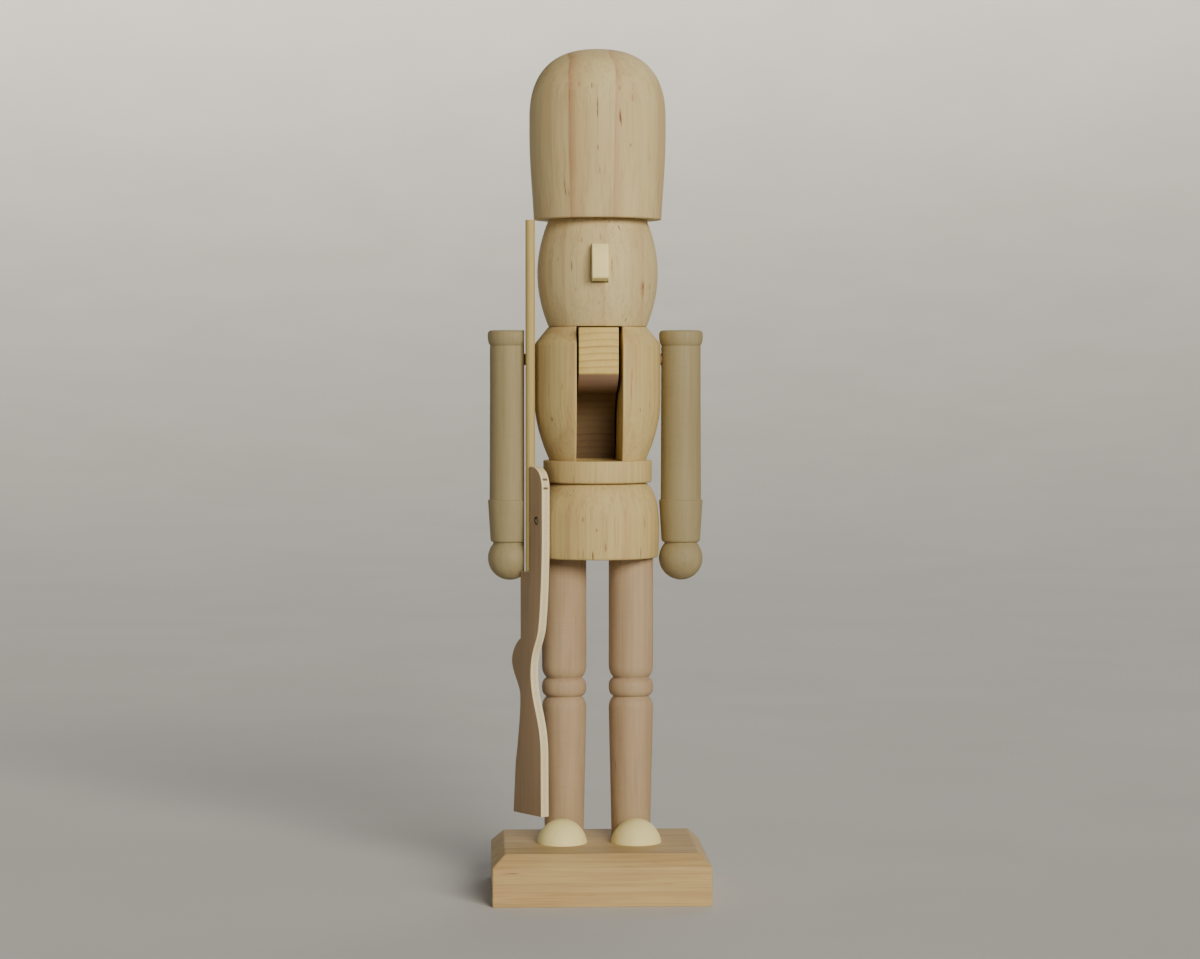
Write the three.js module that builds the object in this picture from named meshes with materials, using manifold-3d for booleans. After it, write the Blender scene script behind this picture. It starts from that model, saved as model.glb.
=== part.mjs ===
// Unpainted wooden nutcracker soldier: turned pieces on a bevelled base, with a
// pivoting jaw lever in a slotted trunk and a rifle at one side.
// Millimetres, +Z up, front towards -Y, left is -X as seen from the front.
// The origin is the centre of the underside of the base.

import * as THREE from 'three';
import { ConvexGeometry } from 'three/addons/geometries/ConvexGeometry.js';
import { mergeVertices } from 'three/addons/utils/BufferGeometryUtils.js';
import Module from 'manifold-3d';

// Heights of the stacked pieces
const BASE_TOP = 15;
const HEM_Z = 99;
const BELT_BOTTOM = 121.4;
const BELT_TOP = 128;
const NECK_Z = 167.7;
const HAT_Z = 199.5;
const TOP_Z = 250;

// The figure stands towards the back of its base
const BODY_Y = 8.5;

// Fits: the gap round a seated piece, and how far a cutter runs past a face
const SEAT_GAP = 0.3;
const RUN = 1;
const BEYOND = 40;
const MERGE_DISTANCE = 1e-4;

// Base
const BASE_WIDTH = 63.6;
const BASE_DEPTH = 55;
const BASE_BEVEL = 3.7;

// Legs
const LEG_X = 10;
const LEG_RADIUS = 6.65;
const LEG_ANKLE_RADIUS = 6.05;
const LEG_GROOVE_RADIUS = 5.8;
const KNEE_TOP = 63.1;
const KNEE_BOTTOM = 57.2;
const KNEE_GROOVE = 0.3;
const KNEE_ROUND = 1.6;
const BOOT_ROUND = 2.6;
const THIGH_ROUND = 2.4;

// Toes
const TOE_X = 11;
const TOE_FORWARD = 10.8;
const TOE_HALF_WIDTH = 7.45;
const TOE_HALF_LENGTH = 8.3;
const TOE_HEIGHT = 8;

// Trunk: skirt, belt and torso turned from one block
const SKIRT_RADIUS = 18.4;
const SKIRT_HEM_RADIUS = 18.1;
const SKIRT_TOP_RADIUS = 14.9;
const SKIRT_FULL_RISE = 5;
const SKIRT_TURN_RISE = 9.5;
const SKIRT_CURVE_RISE = 18.6;
const HEM_ROUND = 0.7;
const BELT_RADIUS = 16.2;
const BELT_GROOVE_RADIUS = 14.3;
const BELT_GROOVE = 0.2;
const BELT_ROUND = 0.9;
const TORSO_RADIUS = 18.3;
const WAIST_RADIUS = 14.2;
const TORSO_CURVE_RISE = 9.6;
const CHEST_Z = 145.7;
const SHOULDER_Z = 162.6;
const SHOULDER_ROUND = 0.5;
const SHOULDER_TOP_RADIUS = 14.7;
const SLOT_WIDTH = 13.5;
const SLOT_FLOOR = 127.8;
const CHANNEL_BACK = 6.2;

// Head and nose, depths measured from the body axis
const HEAD_END_RADIUS = 14.6;
const HEAD_RADIUS = 17.95;
const NOSE_WIDTH = 4.9;
const NOSE_BOTTOM = 180.4;
const NOSE_HEIGHT = 11.4;
const NOSE_FRONT = 22.3;
const NOSE_BACK = 15.4;
const NOSE_BROW_STAND = 1;
const NOSE_BROW_CURVE = [-21.7, 189.3];
const NOSE_TIP_RISE = 4;
const NOSE_EDGE = 0.8;

// Hat
const HAT_RIM_RADIUS = 19;
const HAT_RIM_EDGE = 0.5;
const HAT_RADIUS = 20.3;
const HAT_WIDEST_Z = 228.7;
const HAT_DOME_POWER = 2.5;
const HAT_FLARE = 0.35;
const HAT_FLARE_RISE = 6;
const HAT_CURVE_RISE = 18;
const HAT_SIDE_TOP = 225.7;

// Jaw lever and its pivot: points are [back from the body axis, height]
const LEVER_WIDTH = 11.7;
const CHIN_FRONT = 18.4;
const CHIN_BOTTOM = 153.8;
const CHIN_GAP = 0.5;
const CHIN_EDGE = 0.5;
const CHIN_CURVE = [-13, 149.6];
const JAW_UNDERSIDE = [-5.9, 148.4];
const THROAT_CURVE = [4.6, 146.6];
const THROAT = [5.9, 140];
const HANDLE_FRONT_CURVE = [8.4, 124];
const HANDLE_FRONT = [12.8, 104];
const HANDLE_END_Z = 97.6;
const HANDLE_END_FRONT = 13.6;
const HANDLE_END_BACK = 23.5;
const HANDLE_FRONT_ROUND = 2.6;
const HANDLE_BACK_ROUND = 3;
const HANDLE_BACK_CURVE = [20.2, 126];
const PIVOT_BACK = 5;
const PIVOT_Z = 150;
const PIVOT_RADIUS = 1.5;
const PIVOT_LENGTH = 34.4;
const HEEL_RADIUS = NECK_Z - CHIN_GAP - PIVOT_Z;

// Arms
const ARM_RADIUS = 6.05;
const ARM_WAIST_RADIUS = 5.9;
const ARM_WAIST_DROP = 20;
const ARM_BEAD_RADIUS = 6.55;
const ARM_BEAD_HEIGHT = 3.8;
const ARM_BEAD_ROUND = 1.4;
const ARM_BEAD_NECK = 6.2;
const ARM_TOP = 166.7;
const CUFF_Z = 116.1;
const CUFF_END_RADIUS = 5.75;
const CUFF_END_ROUND = 2.4;
const WRIST_Z = 103.4;
const WRIST_RADIUS = 4.95;
const HAND_Z = 98.7;
const ARM_RIGHT_X = 24.95;
const ARM_LEFT_X = -26.2;
const ARM_LEFT_BACK = 1;
const ARM_FLAT_X = -22.3;

// Rifle stock: u runs forward in its plane and points are [u, height]
const STOCK_ANGLE = THREE.MathUtils.degToRad(33);
const STOCK_THICKNESS = 2.8;
const STOCK_PLANE = 20.1;
const STOCK_TANGENT_U = 9.38;
const STOCK_TOP = 126.3;
const STOCK_END = 22.8;
const FORE_END_FRONT = 11.4;
const FORE_END_REAR = 5;
const FORE_END_ROUND = 6;
const FORE_END_LIP = [6.2, STOCK_TOP];
const FORE_END_CURVE = [11, 125.7];
const FORE_END_FOOT_Z = 104;
const LEDGE_Z = 95;
const LOCK_REAR = [0, 75];
const HAMMER = [-4.6, 68.4];
const HAMMER_CURVES = [-1.5, 74.5, -4.4, 71.5];
const WRIST_REAR = [-0.2, 58];
const WRIST_REAR_CURVES = [-4.7, 64.5, -0.4, 61.5];
const COMB = [-2.7, 37.7];
const COMB_CURVE = [0.1, 52];
const HEEL_U = -3.8;
const BUTT_TOE_U = 10.8;
const BELLY = [10.7, 41];
const WRIST_FRONT = [5.4, 65];
const WRIST_FRONT_CURVES = [10.6, 52, 5.4, 56];
const GUARD = [9.5, 78.5];
const GUARD_CURVES = [5.4, 72, 8.6, 74];
const FORE_END_CURVES = [10.3, 83, 11.2, 92];

// Rifle barrel and the brad that holds the rifle to the skirt
const BARREL_RADIUS = 1.4;
const BARREL_TOP = 199.2;
const BRAD_U = 8.4;
const BRAD_Z = 110.4;
const BRAD_HEAD_RADIUS = 0.95;
const BRAD_HEAD_HEIGHT = 0.7;
const BRAD_SHANK_RADIUS = 0.6;
const BRAD_POINT_HEIGHT = 1.2;
const BRAD_LENGTH = 8.6;
const BRAD_SUNK = 0.5;

// Dowels that hold the turned pieces together
const LEG_DOWEL_RADIUS = 2;
const LEG_DOWEL_DEPTH = 9;
const NECK_DOWEL_RADIUS = 1.5;
const NECK_DOWEL_DEPTH = 7;
const NECK_DOWEL_X = 10.4;
const HAT_DOWEL_RADIUS = 3;
const HAT_DOWEL_DEPTH = 10;
const SHOULDER_PEG_RADIUS = 1.75;
const SHOULDER_PEG_Z = 158;
const SHOULDER_PEG_INNER = 12.5;
const SHOULDER_PEG_IN_ARM = 1.5;

// Facets round each kind of turned piece, and steps along its curves
const BODY_FACETS = 40;
const LIMB_FACETS = 22;
const TOE_FACETS = 20;
const TOE_RINGS = 12;
const DOWEL_FACETS = 16;
const CURVE_STEPS = 8;
const ROUND_STEPS = 3;

const wasm = await Module();
wasm.setup();

const pine = new THREE.MeshStandardMaterial({ color: 0xc3a57a, roughness: 0.62, metalness: 0 });
const birch = new THREE.MeshStandardMaterial({ color: 0xc9b78e, roughness: 0.58, metalness: 0 });
const beech = new THREE.MeshStandardMaterial({ color: 0xb08e68, roughness: 0.6, metalness: 0 });
const plywood = new THREE.MeshStandardMaterial({ color: 0xa98e6c, roughness: 0.7, metalness: 0 });
const dowelwood = new THREE.MeshStandardMaterial({ color: 0xcdb483, roughness: 0.6, metalness: 0 });
const steel = new THREE.MeshStandardMaterial({ color: 0x6b6863, roughness: 0.45, metalness: 0.9 });

// Solids and booleans

// One closed mesh whose corners are shared, with only its positions kept.
function closed(geometry) {
  geometry.deleteAttribute('normal');
  geometry.deleteAttribute('uv');
  return mergeVertices(geometry, MERGE_DISTANCE);
}

function toSolid(geometry) {
  const shape = closed(geometry);
  const mesh = new wasm.Mesh({
    numProp: 3,
    vertProperties: new Float32Array(shape.attributes.position.array),
    triVerts: new Uint32Array(shape.index.array),
  });
  return new wasm.Manifold(mesh);
}

function toGeometry(solid) {
  const mesh = solid.getMesh();
  const geometry = new THREE.BufferGeometry();
  geometry.setAttribute('position', new THREE.BufferAttribute(mesh.vertProperties, 3));
  geometry.setIndex(new THREE.BufferAttribute(mesh.triVerts, 1));
  return geometry;
}

function cut(geometry, cutters) {
  let solid = toSolid(geometry);
  for (const cutter of cutters) {
    solid = solid.subtract(toSolid(cutter));
  }
  return toGeometry(solid);
}

// A profile of [radius, height] pairs from the bottom to the top, turned round Z.
function turned(profile, facets) {
  const points = profile.map(([radius, height]) => new THREE.Vector2(radius, height));
  const geometry = new THREE.LatheGeometry(points, facets);
  return geometry.rotateX(Math.PI / 2);
}

// A round bar between two heights, standing on Z.
function bar(radius, bottom, top) {
  const geometry = new THREE.CylinderGeometry(radius, radius, top - bottom, DOWEL_FACETS);
  return geometry.rotateX(Math.PI / 2).translate(0, 0, (bottom + top) / 2);
}

// A round bar lying along X between two places.
function crossbar(radius, from, to) {
  const geometry = new THREE.CylinderGeometry(radius, radius, Math.abs(to - from), DOWEL_FACETS);
  return geometry.rotateZ(Math.PI / 2).translate((from + to) / 2, 0, 0);
}

// A block between two corners.
function block(low, high) {
  const size = high.map((value, axis) => value - low[axis]);
  const middle = high.map((value, axis) => (value + low[axis]) / 2);
  return new THREE.BoxGeometry(...size).translate(...middle);
}

// Points of a curve between two profile points, bowed towards a control point.
function bowed(from, control, to, steps = CURVE_STEPS) {
  const curve = new THREE.QuadraticBezierCurve(
    new THREE.Vector2(...from),
    new THREE.Vector2(...control),
    new THREE.Vector2(...to),
  );
  return curve.getPoints(steps).map((point) => [point.x, point.y]);
}

// An outline drawn in depth and height, sawn from a board that lies across X.
function sideSawn(outline, width) {
  const geometry = new THREE.ExtrudeGeometry(outline, {
    depth: width, bevelEnabled: false, curveSegments: CURVE_STEPS,
  });
  const standing = new THREE.Matrix4().makeBasis(
    new THREE.Vector3(0, 1, 0),
    new THREE.Vector3(0, 0, 1),
    new THREE.Vector3(1, 0, 0),
  );
  return geometry.applyMatrix4(standing).translate(-width / 2, 0, 0);
}

// Base: a rectangular block with a bevel round its top edge, bored for the ankles.
function base() {
  const corners = [];
  for (const side of [-1, 1]) {
    for (const end of [-1, 1]) {
      const x = side * BASE_WIDTH / 2;
      const y = end * BASE_DEPTH / 2;
      corners.push(new THREE.Vector3(x, y, 0));
      corners.push(new THREE.Vector3(x, y, BASE_TOP - BASE_BEVEL));
      corners.push(new THREE.Vector3(x - side * BASE_BEVEL, y - end * BASE_BEVEL, BASE_TOP));
    }
  }
  const bores = [-LEG_X, LEG_X].map((x) => (
    bar(LEG_DOWEL_RADIUS + SEAT_GAP, BASE_TOP - LEG_DOWEL_DEPTH - SEAT_GAP, BASE_TOP + RUN)
      .translate(x, BODY_Y, 0)
  ));
  return cut(new ConvexGeometry(corners), bores);
}

// Leg: a tapered boot, a bead at the knee between two grooves, and a straight thigh.
function leg() {
  const boot = bowed([LEG_RADIUS, KNEE_BOTTOM - BOOT_ROUND], [LEG_RADIUS, KNEE_BOTTOM],
    [LEG_GROOVE_RADIUS, KNEE_BOTTOM], ROUND_STEPS);
  const kneeLow = KNEE_BOTTOM + KNEE_GROOVE;
  const kneeHigh = KNEE_TOP - KNEE_GROOVE;
  const profile = [
    [0, BASE_TOP],
    [LEG_ANKLE_RADIUS, BASE_TOP],
    ...boot,
    ...bowed([LEG_GROOVE_RADIUS, kneeLow], [LEG_RADIUS, kneeLow],
      [LEG_RADIUS, KNEE_BOTTOM + KNEE_ROUND], ROUND_STEPS),
    ...bowed([LEG_RADIUS, KNEE_TOP - KNEE_ROUND], [LEG_RADIUS, kneeHigh],
      [LEG_GROOVE_RADIUS, kneeHigh], ROUND_STEPS),
    ...bowed([LEG_GROOVE_RADIUS, KNEE_TOP], [LEG_RADIUS, KNEE_TOP],
      [LEG_RADIUS, KNEE_TOP + THIGH_ROUND], ROUND_STEPS),
    [LEG_RADIUS, HEM_Z],
    [0, HEM_Z],
  ];
  const depth = LEG_DOWEL_DEPTH + SEAT_GAP;
  const bores = [
    bar(LEG_DOWEL_RADIUS + SEAT_GAP, BASE_TOP - RUN, BASE_TOP + depth),
    bar(LEG_DOWEL_RADIUS + SEAT_GAP, HEM_Z - depth, HEM_Z + RUN),
  ];
  return cut(turned(profile, LIMB_FACETS), bores);
}

// Toe: half an egg lying on the base, sawn flat where it meets the front of the leg.
function toe() {
  const egg = new THREE.SphereGeometry(1, TOE_FACETS, TOE_RINGS).rotateX(Math.PI / 2)
    .scale(TOE_HALF_WIDTH, TOE_HALF_LENGTH, TOE_HEIGHT);
  const back = TOE_FORWARD - LEG_RADIUS + SEAT_GAP / 2;
  const below = block([-BEYOND, -BEYOND, -BEYOND], [BEYOND, BEYOND, 0]);
  const behind = block([-BEYOND, back, -BEYOND], [BEYOND, BEYOND, BEYOND]);
  return cut(egg, [below, behind]).translate(0, -TOE_FORWARD, BASE_TOP);
}

// Trunk: one turned block, slotted from the top down to the belt for the jaw lever.
// A channel runs on down the back, through belt and skirt, for the lever's handle.
function trunk() {
  const profile = [
    [0, HEM_Z],
    [SKIRT_HEM_RADIUS - HEM_ROUND, HEM_Z],
    [SKIRT_HEM_RADIUS, HEM_Z + HEM_ROUND],
    [SKIRT_RADIUS, HEM_Z + SKIRT_FULL_RISE],
    ...bowed([SKIRT_RADIUS, HEM_Z + SKIRT_TURN_RISE], [SKIRT_RADIUS, HEM_Z + SKIRT_CURVE_RISE],
      [SKIRT_TOP_RADIUS, BELT_BOTTOM - 2 * BELT_GROOVE]),
    [BELT_GROOVE_RADIUS, BELT_BOTTOM - BELT_GROOVE],
    [BELT_GROOVE_RADIUS, BELT_BOTTOM],
    ...bowed([BELT_RADIUS - BELT_ROUND, BELT_BOTTOM], [BELT_RADIUS, BELT_BOTTOM],
      [BELT_RADIUS, BELT_BOTTOM + BELT_ROUND], ROUND_STEPS),
    [BELT_RADIUS, BELT_TOP],
    ...bowed([WAIST_RADIUS, BELT_TOP], [TORSO_RADIUS, BELT_TOP + TORSO_CURVE_RISE],
      [TORSO_RADIUS, CHEST_Z]),
    [TORSO_RADIUS, SHOULDER_Z - SHOULDER_ROUND],
    [TORSO_RADIUS - SHOULDER_ROUND, SHOULDER_Z + SHOULDER_ROUND],
    [SHOULDER_TOP_RADIUS, NECK_Z],
    [0, NECK_Z],
  ];
  const half = SLOT_WIDTH / 2;
  const cutters = [
    block([-half, -BEYOND, SLOT_FLOOR], [half, BEYOND, NECK_Z + RUN]),
    block([-half, CHANNEL_BACK, HEM_Z - RUN], [half, BEYOND, SLOT_FLOOR + RUN]),
    crossbar(PIVOT_RADIUS + SEAT_GAP, -BEYOND, BEYOND).translate(0, PIVOT_BACK, PIVOT_Z),
    bradHole(),
  ];
  const hipTop = HEM_Z + LEG_DOWEL_DEPTH + SEAT_GAP;
  const neckBottom = NECK_Z - NECK_DOWEL_DEPTH - SEAT_GAP;
  const pegEnd = SHOULDER_PEG_INNER - SEAT_GAP;
  for (const side of [-1, 1]) {
    const pegBack = side < 0 ? ARM_LEFT_BACK : 0;
    cutters.push(
      bar(LEG_DOWEL_RADIUS + SEAT_GAP, HEM_Z - RUN, hipTop).translate(side * LEG_X, 0, 0),
      bar(NECK_DOWEL_RADIUS + SEAT_GAP, neckBottom, NECK_Z + RUN).translate(side * NECK_DOWEL_X, 0, 0),
      crossbar(SHOULDER_PEG_RADIUS + SEAT_GAP, side * pegEnd, side * BEYOND)
        .translate(0, pegBack, SHOULDER_PEG_Z),
    );
  }
  return cut(turned(profile, BODY_FACETS), cutters);
}

// Head: a plain barrel with a mortise for the nose.
function head() {
  const middle = (NECK_Z + HAT_Z) / 2;
  const swell = 2 * HEAD_RADIUS - HEAD_END_RADIUS;
  const profile = [
    [0, NECK_Z],
    ...bowed([HEAD_END_RADIUS, NECK_Z], [swell, middle], [HEAD_END_RADIUS, HAT_Z]),
    [0, HAT_Z],
  ];
  const reach = NOSE_WIDTH / 2 + SEAT_GAP;
  const mortise = block(
    [-reach, -NOSE_FRONT, NOSE_BOTTOM - SEAT_GAP],
    [reach, -NOSE_BACK + SEAT_GAP, NOSE_BOTTOM + NOSE_HEIGHT + SEAT_GAP],
  );
  const neckTop = NECK_Z + NECK_DOWEL_DEPTH + SEAT_GAP;
  const bores = [-NECK_DOWEL_X, NECK_DOWEL_X].map((x) => (
    bar(NECK_DOWEL_RADIUS + SEAT_GAP, NECK_Z - RUN, neckTop).translate(x, 0, 0)
  ));
  bores.push(bar(HAT_DOWEL_RADIUS + SEAT_GAP, HAT_Z - HAT_DOWEL_DEPTH - SEAT_GAP, HAT_Z + RUN));
  return cut(turned(profile, BODY_FACETS), [mortise, ...bores]);
}

// Nose: a small block whose brow slopes back, let into the mortise.
function nose() {
  const top = NOSE_BOTTOM + NOSE_HEIGHT;
  const outline = new THREE.Shape();
  outline.moveTo(-NOSE_BACK, NOSE_BOTTOM);
  outline.lineTo(-NOSE_BACK, top);
  outline.lineTo(-HEAD_RADIUS - NOSE_BROW_STAND, top);
  outline.quadraticCurveTo(...NOSE_BROW_CURVE, -NOSE_FRONT, NOSE_BOTTOM + NOSE_TIP_RISE);
  outline.lineTo(-NOSE_FRONT, NOSE_BOTTOM + NOSE_EDGE);
  outline.lineTo(-NOSE_FRONT + NOSE_EDGE, NOSE_BOTTOM);
  return sideSawn(outline, NOSE_WIDTH);
}

// Hat: a tall busby that swells a little towards its rounded crown.
function hat() {
  const crown = TOP_Z - HAT_WIDEST_Z;
  const dome = [];
  for (let step = 0; step <= CURVE_STEPS; step += 1) {
    const angle = (step / CURVE_STEPS) * (Math.PI / 2);
    const radius = HAT_RADIUS * Math.cos(angle) ** (2 / HAT_DOME_POWER);
    const rise = crown * Math.sin(angle) ** (2 / HAT_DOME_POWER);
    dome.push([step === CURVE_STEPS ? 0 : radius, HAT_WIDEST_Z + rise]);
  }
  const profile = [
    [0, HAT_Z],
    [HAT_RIM_RADIUS - HAT_RIM_EDGE, HAT_Z],
    [HAT_RIM_RADIUS, HAT_Z + HAT_RIM_EDGE],
    ...bowed([HAT_RIM_RADIUS + HAT_FLARE, HAT_Z + HAT_FLARE_RISE], [HAT_RADIUS, HAT_Z + HAT_CURVE_RISE],
      [HAT_RADIUS, HAT_SIDE_TOP], ROUND_STEPS),
    ...dome,
  ];
  const bore = bar(HAT_DOWEL_RADIUS + SEAT_GAP, HAT_Z - RUN, HAT_Z + HAT_DOWEL_DEPTH + SEAT_GAP);
  return cut(turned(profile, BODY_FACETS), [bore]);
}

// Jaw lever: a chin block, a round heel that turns under the head, and a long handle.
function jawLever() {
  const top = NECK_Z - CHIN_GAP;
  const outline = new THREE.Shape();
  outline.moveTo(-CHIN_FRONT, CHIN_BOTTOM);
  outline.quadraticCurveTo(...CHIN_CURVE, ...JAW_UNDERSIDE);
  outline.quadraticCurveTo(...THROAT_CURVE, ...THROAT);
  outline.quadraticCurveTo(...HANDLE_FRONT_CURVE, ...HANDLE_FRONT);
  outline.lineTo(HANDLE_END_FRONT, HANDLE_END_Z + HANDLE_FRONT_ROUND);
  outline.quadraticCurveTo(HANDLE_END_FRONT, HANDLE_END_Z, HANDLE_END_FRONT + HANDLE_FRONT_ROUND, HANDLE_END_Z);
  outline.lineTo(HANDLE_END_BACK - HANDLE_BACK_ROUND, HANDLE_END_Z);
  outline.quadraticCurveTo(HANDLE_END_BACK, HANDLE_END_Z, HANDLE_END_BACK, HANDLE_END_Z + HANDLE_BACK_ROUND);
  outline.quadraticCurveTo(...HANDLE_BACK_CURVE, PIVOT_BACK + HEEL_RADIUS, PIVOT_Z);
  outline.absarc(PIVOT_BACK, PIVOT_Z, HEEL_RADIUS, 0, Math.PI / 2, false);
  outline.lineTo(-CHIN_FRONT + CHIN_EDGE, top);
  outline.lineTo(-CHIN_FRONT, top - CHIN_EDGE);
  const bore = crossbar(PIVOT_RADIUS + SEAT_GAP, -LEVER_WIDTH, LEVER_WIDTH)
    .translate(0, PIVOT_BACK, PIVOT_Z);
  return cut(sideSawn(outline, LEVER_WIDTH), [bore]);
}

// Arm: ball hand, cuff, sleeve and shoulder bead turned from one stick.
function armBlank() {
  const beadBottom = ARM_TOP - ARM_BEAD_HEIGHT;
  const profile = [
    [0, HAND_Z - ARM_BEAD_RADIUS],
    ...ballHand(),
    [WRIST_RADIUS, WRIST_Z],
    ...bowed([WRIST_RADIUS, WRIST_Z], [CUFF_END_RADIUS, WRIST_Z],
      [CUFF_END_RADIUS, WRIST_Z + CUFF_END_ROUND], ROUND_STEPS).slice(1),
    [ARM_BEAD_RADIUS, CUFF_Z],
    [ARM_RADIUS, CUFF_Z],
    [ARM_WAIST_RADIUS, ARM_TOP - ARM_WAIST_DROP],
    ...bowed([ARM_WAIST_RADIUS, ARM_TOP - ARM_BEAD_NECK], [ARM_WAIST_RADIUS, beadBottom],
      [ARM_BEAD_RADIUS, beadBottom], ROUND_STEPS),
    ...bowed([ARM_BEAD_RADIUS, ARM_TOP - ARM_BEAD_ROUND], [ARM_BEAD_RADIUS, ARM_TOP],
      [ARM_BEAD_RADIUS - ARM_BEAD_ROUND, ARM_TOP], ROUND_STEPS),
    [0, ARM_TOP],
  ];
  return turned(profile, LIMB_FACETS);
}

// The ball below the wrist, from near its lowest point up to the neck.
function ballHand() {
  const points = [];
  const lowest = -Math.PI / 2;
  const highest = Math.acos(WRIST_RADIUS / ARM_BEAD_RADIUS);
  for (let step = 1; step <= CURVE_STEPS; step += 1) {
    const angle = lowest + (highest - lowest) * (step / CURVE_STEPS);
    points.push([ARM_BEAD_RADIUS * Math.cos(angle), HAND_Z + ARM_BEAD_RADIUS * Math.sin(angle)]);
  }
  return points;
}

function pegBore(from, to) {
  return crossbar(SHOULDER_PEG_RADIUS + SEAT_GAP, from, to).translate(0, 0, SHOULDER_PEG_Z);
}

function armRight() {
  return cut(armBlank(), [pegBore(-ARM_BEAD_RADIUS - RUN, SHOULDER_PEG_IN_ARM + SEAT_GAP)]);
}

// The arm beside the rifle is planed flat along its inner side to make room for the barrel.
function armLeft() {
  const flat = ARM_FLAT_X - ARM_LEFT_X;
  const planed = block([flat, -BEYOND, 0], [BEYOND, BEYOND, ARM_TOP + RUN]);
  return cut(armBlank(), [planed, pegBore(-SHOULDER_PEG_IN_ARM - SEAT_GAP, ARM_BEAD_RADIUS + RUN)]);
}

// Rifle frame: u runs forward in the plane of the stock, then height, then out to the side.
const stockForward = new THREE.Vector3(Math.sin(STOCK_ANGLE), -Math.cos(STOCK_ANGLE), 0);
const stockInward = new THREE.Vector3(Math.cos(STOCK_ANGLE), Math.sin(STOCK_ANGLE), 0);
const stockOrigin = new THREE.Vector3()
  .addScaledVector(stockInward, -STOCK_PLANE)
  .addScaledVector(stockForward, -STOCK_TANGENT_U);

// Carries a shape drawn in the plane of the stock to its place beside the skirt.
function onStock(geometry) {
  const up = new THREE.Vector3(0, 0, 1);
  const outward = stockInward.clone().negate();
  const place = new THREE.Matrix4().makeBasis(stockForward, up, outward);
  return geometry.applyMatrix4(place.setPosition(stockOrigin));
}

// A round bar through the stock at the brad, from a depth below its middle plane upwards.
function bradBar(radius, from, to) {
  return bar(radius, from, to).translate(BRAD_U, BRAD_Z, 0);
}

// Stock: sawn from thin plywood, with a step behind the fore-end that takes the barrel.
function rifleStock() {
  const outline = new THREE.Shape();
  outline.moveTo(FORE_END_REAR, LEDGE_Z);
  outline.lineTo(0, LEDGE_Z);
  outline.lineTo(...LOCK_REAR);
  outline.bezierCurveTo(...HAMMER_CURVES, ...HAMMER);
  outline.bezierCurveTo(...WRIST_REAR_CURVES, ...WRIST_REAR);
  outline.quadraticCurveTo(...COMB_CURVE, ...COMB);
  outline.lineTo(HEEL_U, STOCK_END);
  outline.lineTo(BUTT_TOE_U, STOCK_END);
  outline.lineTo(...BELLY);
  outline.bezierCurveTo(...WRIST_FRONT_CURVES, ...WRIST_FRONT);
  outline.bezierCurveTo(...GUARD_CURVES, ...GUARD);
  outline.bezierCurveTo(...FORE_END_CURVES, FORE_END_FRONT, FORE_END_FOOT_Z);
  outline.lineTo(FORE_END_FRONT, STOCK_TOP - FORE_END_ROUND);
  outline.quadraticCurveTo(...FORE_END_CURVE, ...FORE_END_LIP);
  outline.lineTo(FORE_END_REAR, STOCK_TOP);
  const plate = new THREE.ExtrudeGeometry(outline, {
    depth: STOCK_THICKNESS, bevelEnabled: false, curveSegments: CURVE_STEPS,
  }).translate(0, 0, -STOCK_THICKNESS / 2);
  const hole = bradBar(BRAD_HEAD_RADIUS + SEAT_GAP, -STOCK_THICKNESS, STOCK_THICKNESS);
  return onStock(cut(plate, [hole]));
}

// Barrel: a thin dowel that stands on the step of the stock.
function rifleBarrel() {
  const u = FORE_END_REAR - BARREL_RADIUS - SEAT_GAP;
  const centre = stockOrigin.clone().addScaledVector(stockForward, u);
  return bar(BARREL_RADIUS, LEDGE_Z + SEAT_GAP, BARREL_TOP).translate(centre.x, centre.y, 0);
}

// Brad: a headed pin sunk through the fore-end into the side of the skirt.
function rifleBrad() {
  const profile = [
    [0, -BRAD_LENGTH],
    [BRAD_SHANK_RADIUS, BRAD_POINT_HEIGHT - BRAD_LENGTH],
    [BRAD_SHANK_RADIUS, -BRAD_HEAD_HEIGHT],
    [BRAD_HEAD_RADIUS, -BRAD_HEAD_HEIGHT],
    [BRAD_HEAD_RADIUS, 0],
    [0, 0],
  ];
  const headTop = STOCK_THICKNESS / 2 - BRAD_SUNK;
  return onStock(turned(profile, DOWEL_FACETS).translate(BRAD_U, BRAD_Z, headTop));
}

// The hole that the brad's shank makes in the skirt.
function bradHole() {
  const depth = BRAD_LENGTH + BRAD_SUNK + SEAT_GAP - STOCK_THICKNESS / 2;
  return onStock(bradBar(BRAD_SHANK_RADIUS + SEAT_GAP, -depth, 0));
}

// The assembly: body pieces are drawn round the body axis and set back on the base.
const group = new THREE.Group();
const figure = new THREE.Group();
figure.position.set(0, BODY_Y, 0);
group.add(figure);

function place(parent, name, geometry, material, position = [0, 0, 0]) {
  const mesh = new THREE.Mesh(geometry, material);
  mesh.name = name;
  mesh.position.set(...position);
  parent.add(mesh);
}

// A dowel that reaches equally far above and below a joint.
function jointDowel(radius, height, depth) {
  return bar(radius, height - depth, height + depth);
}

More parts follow.
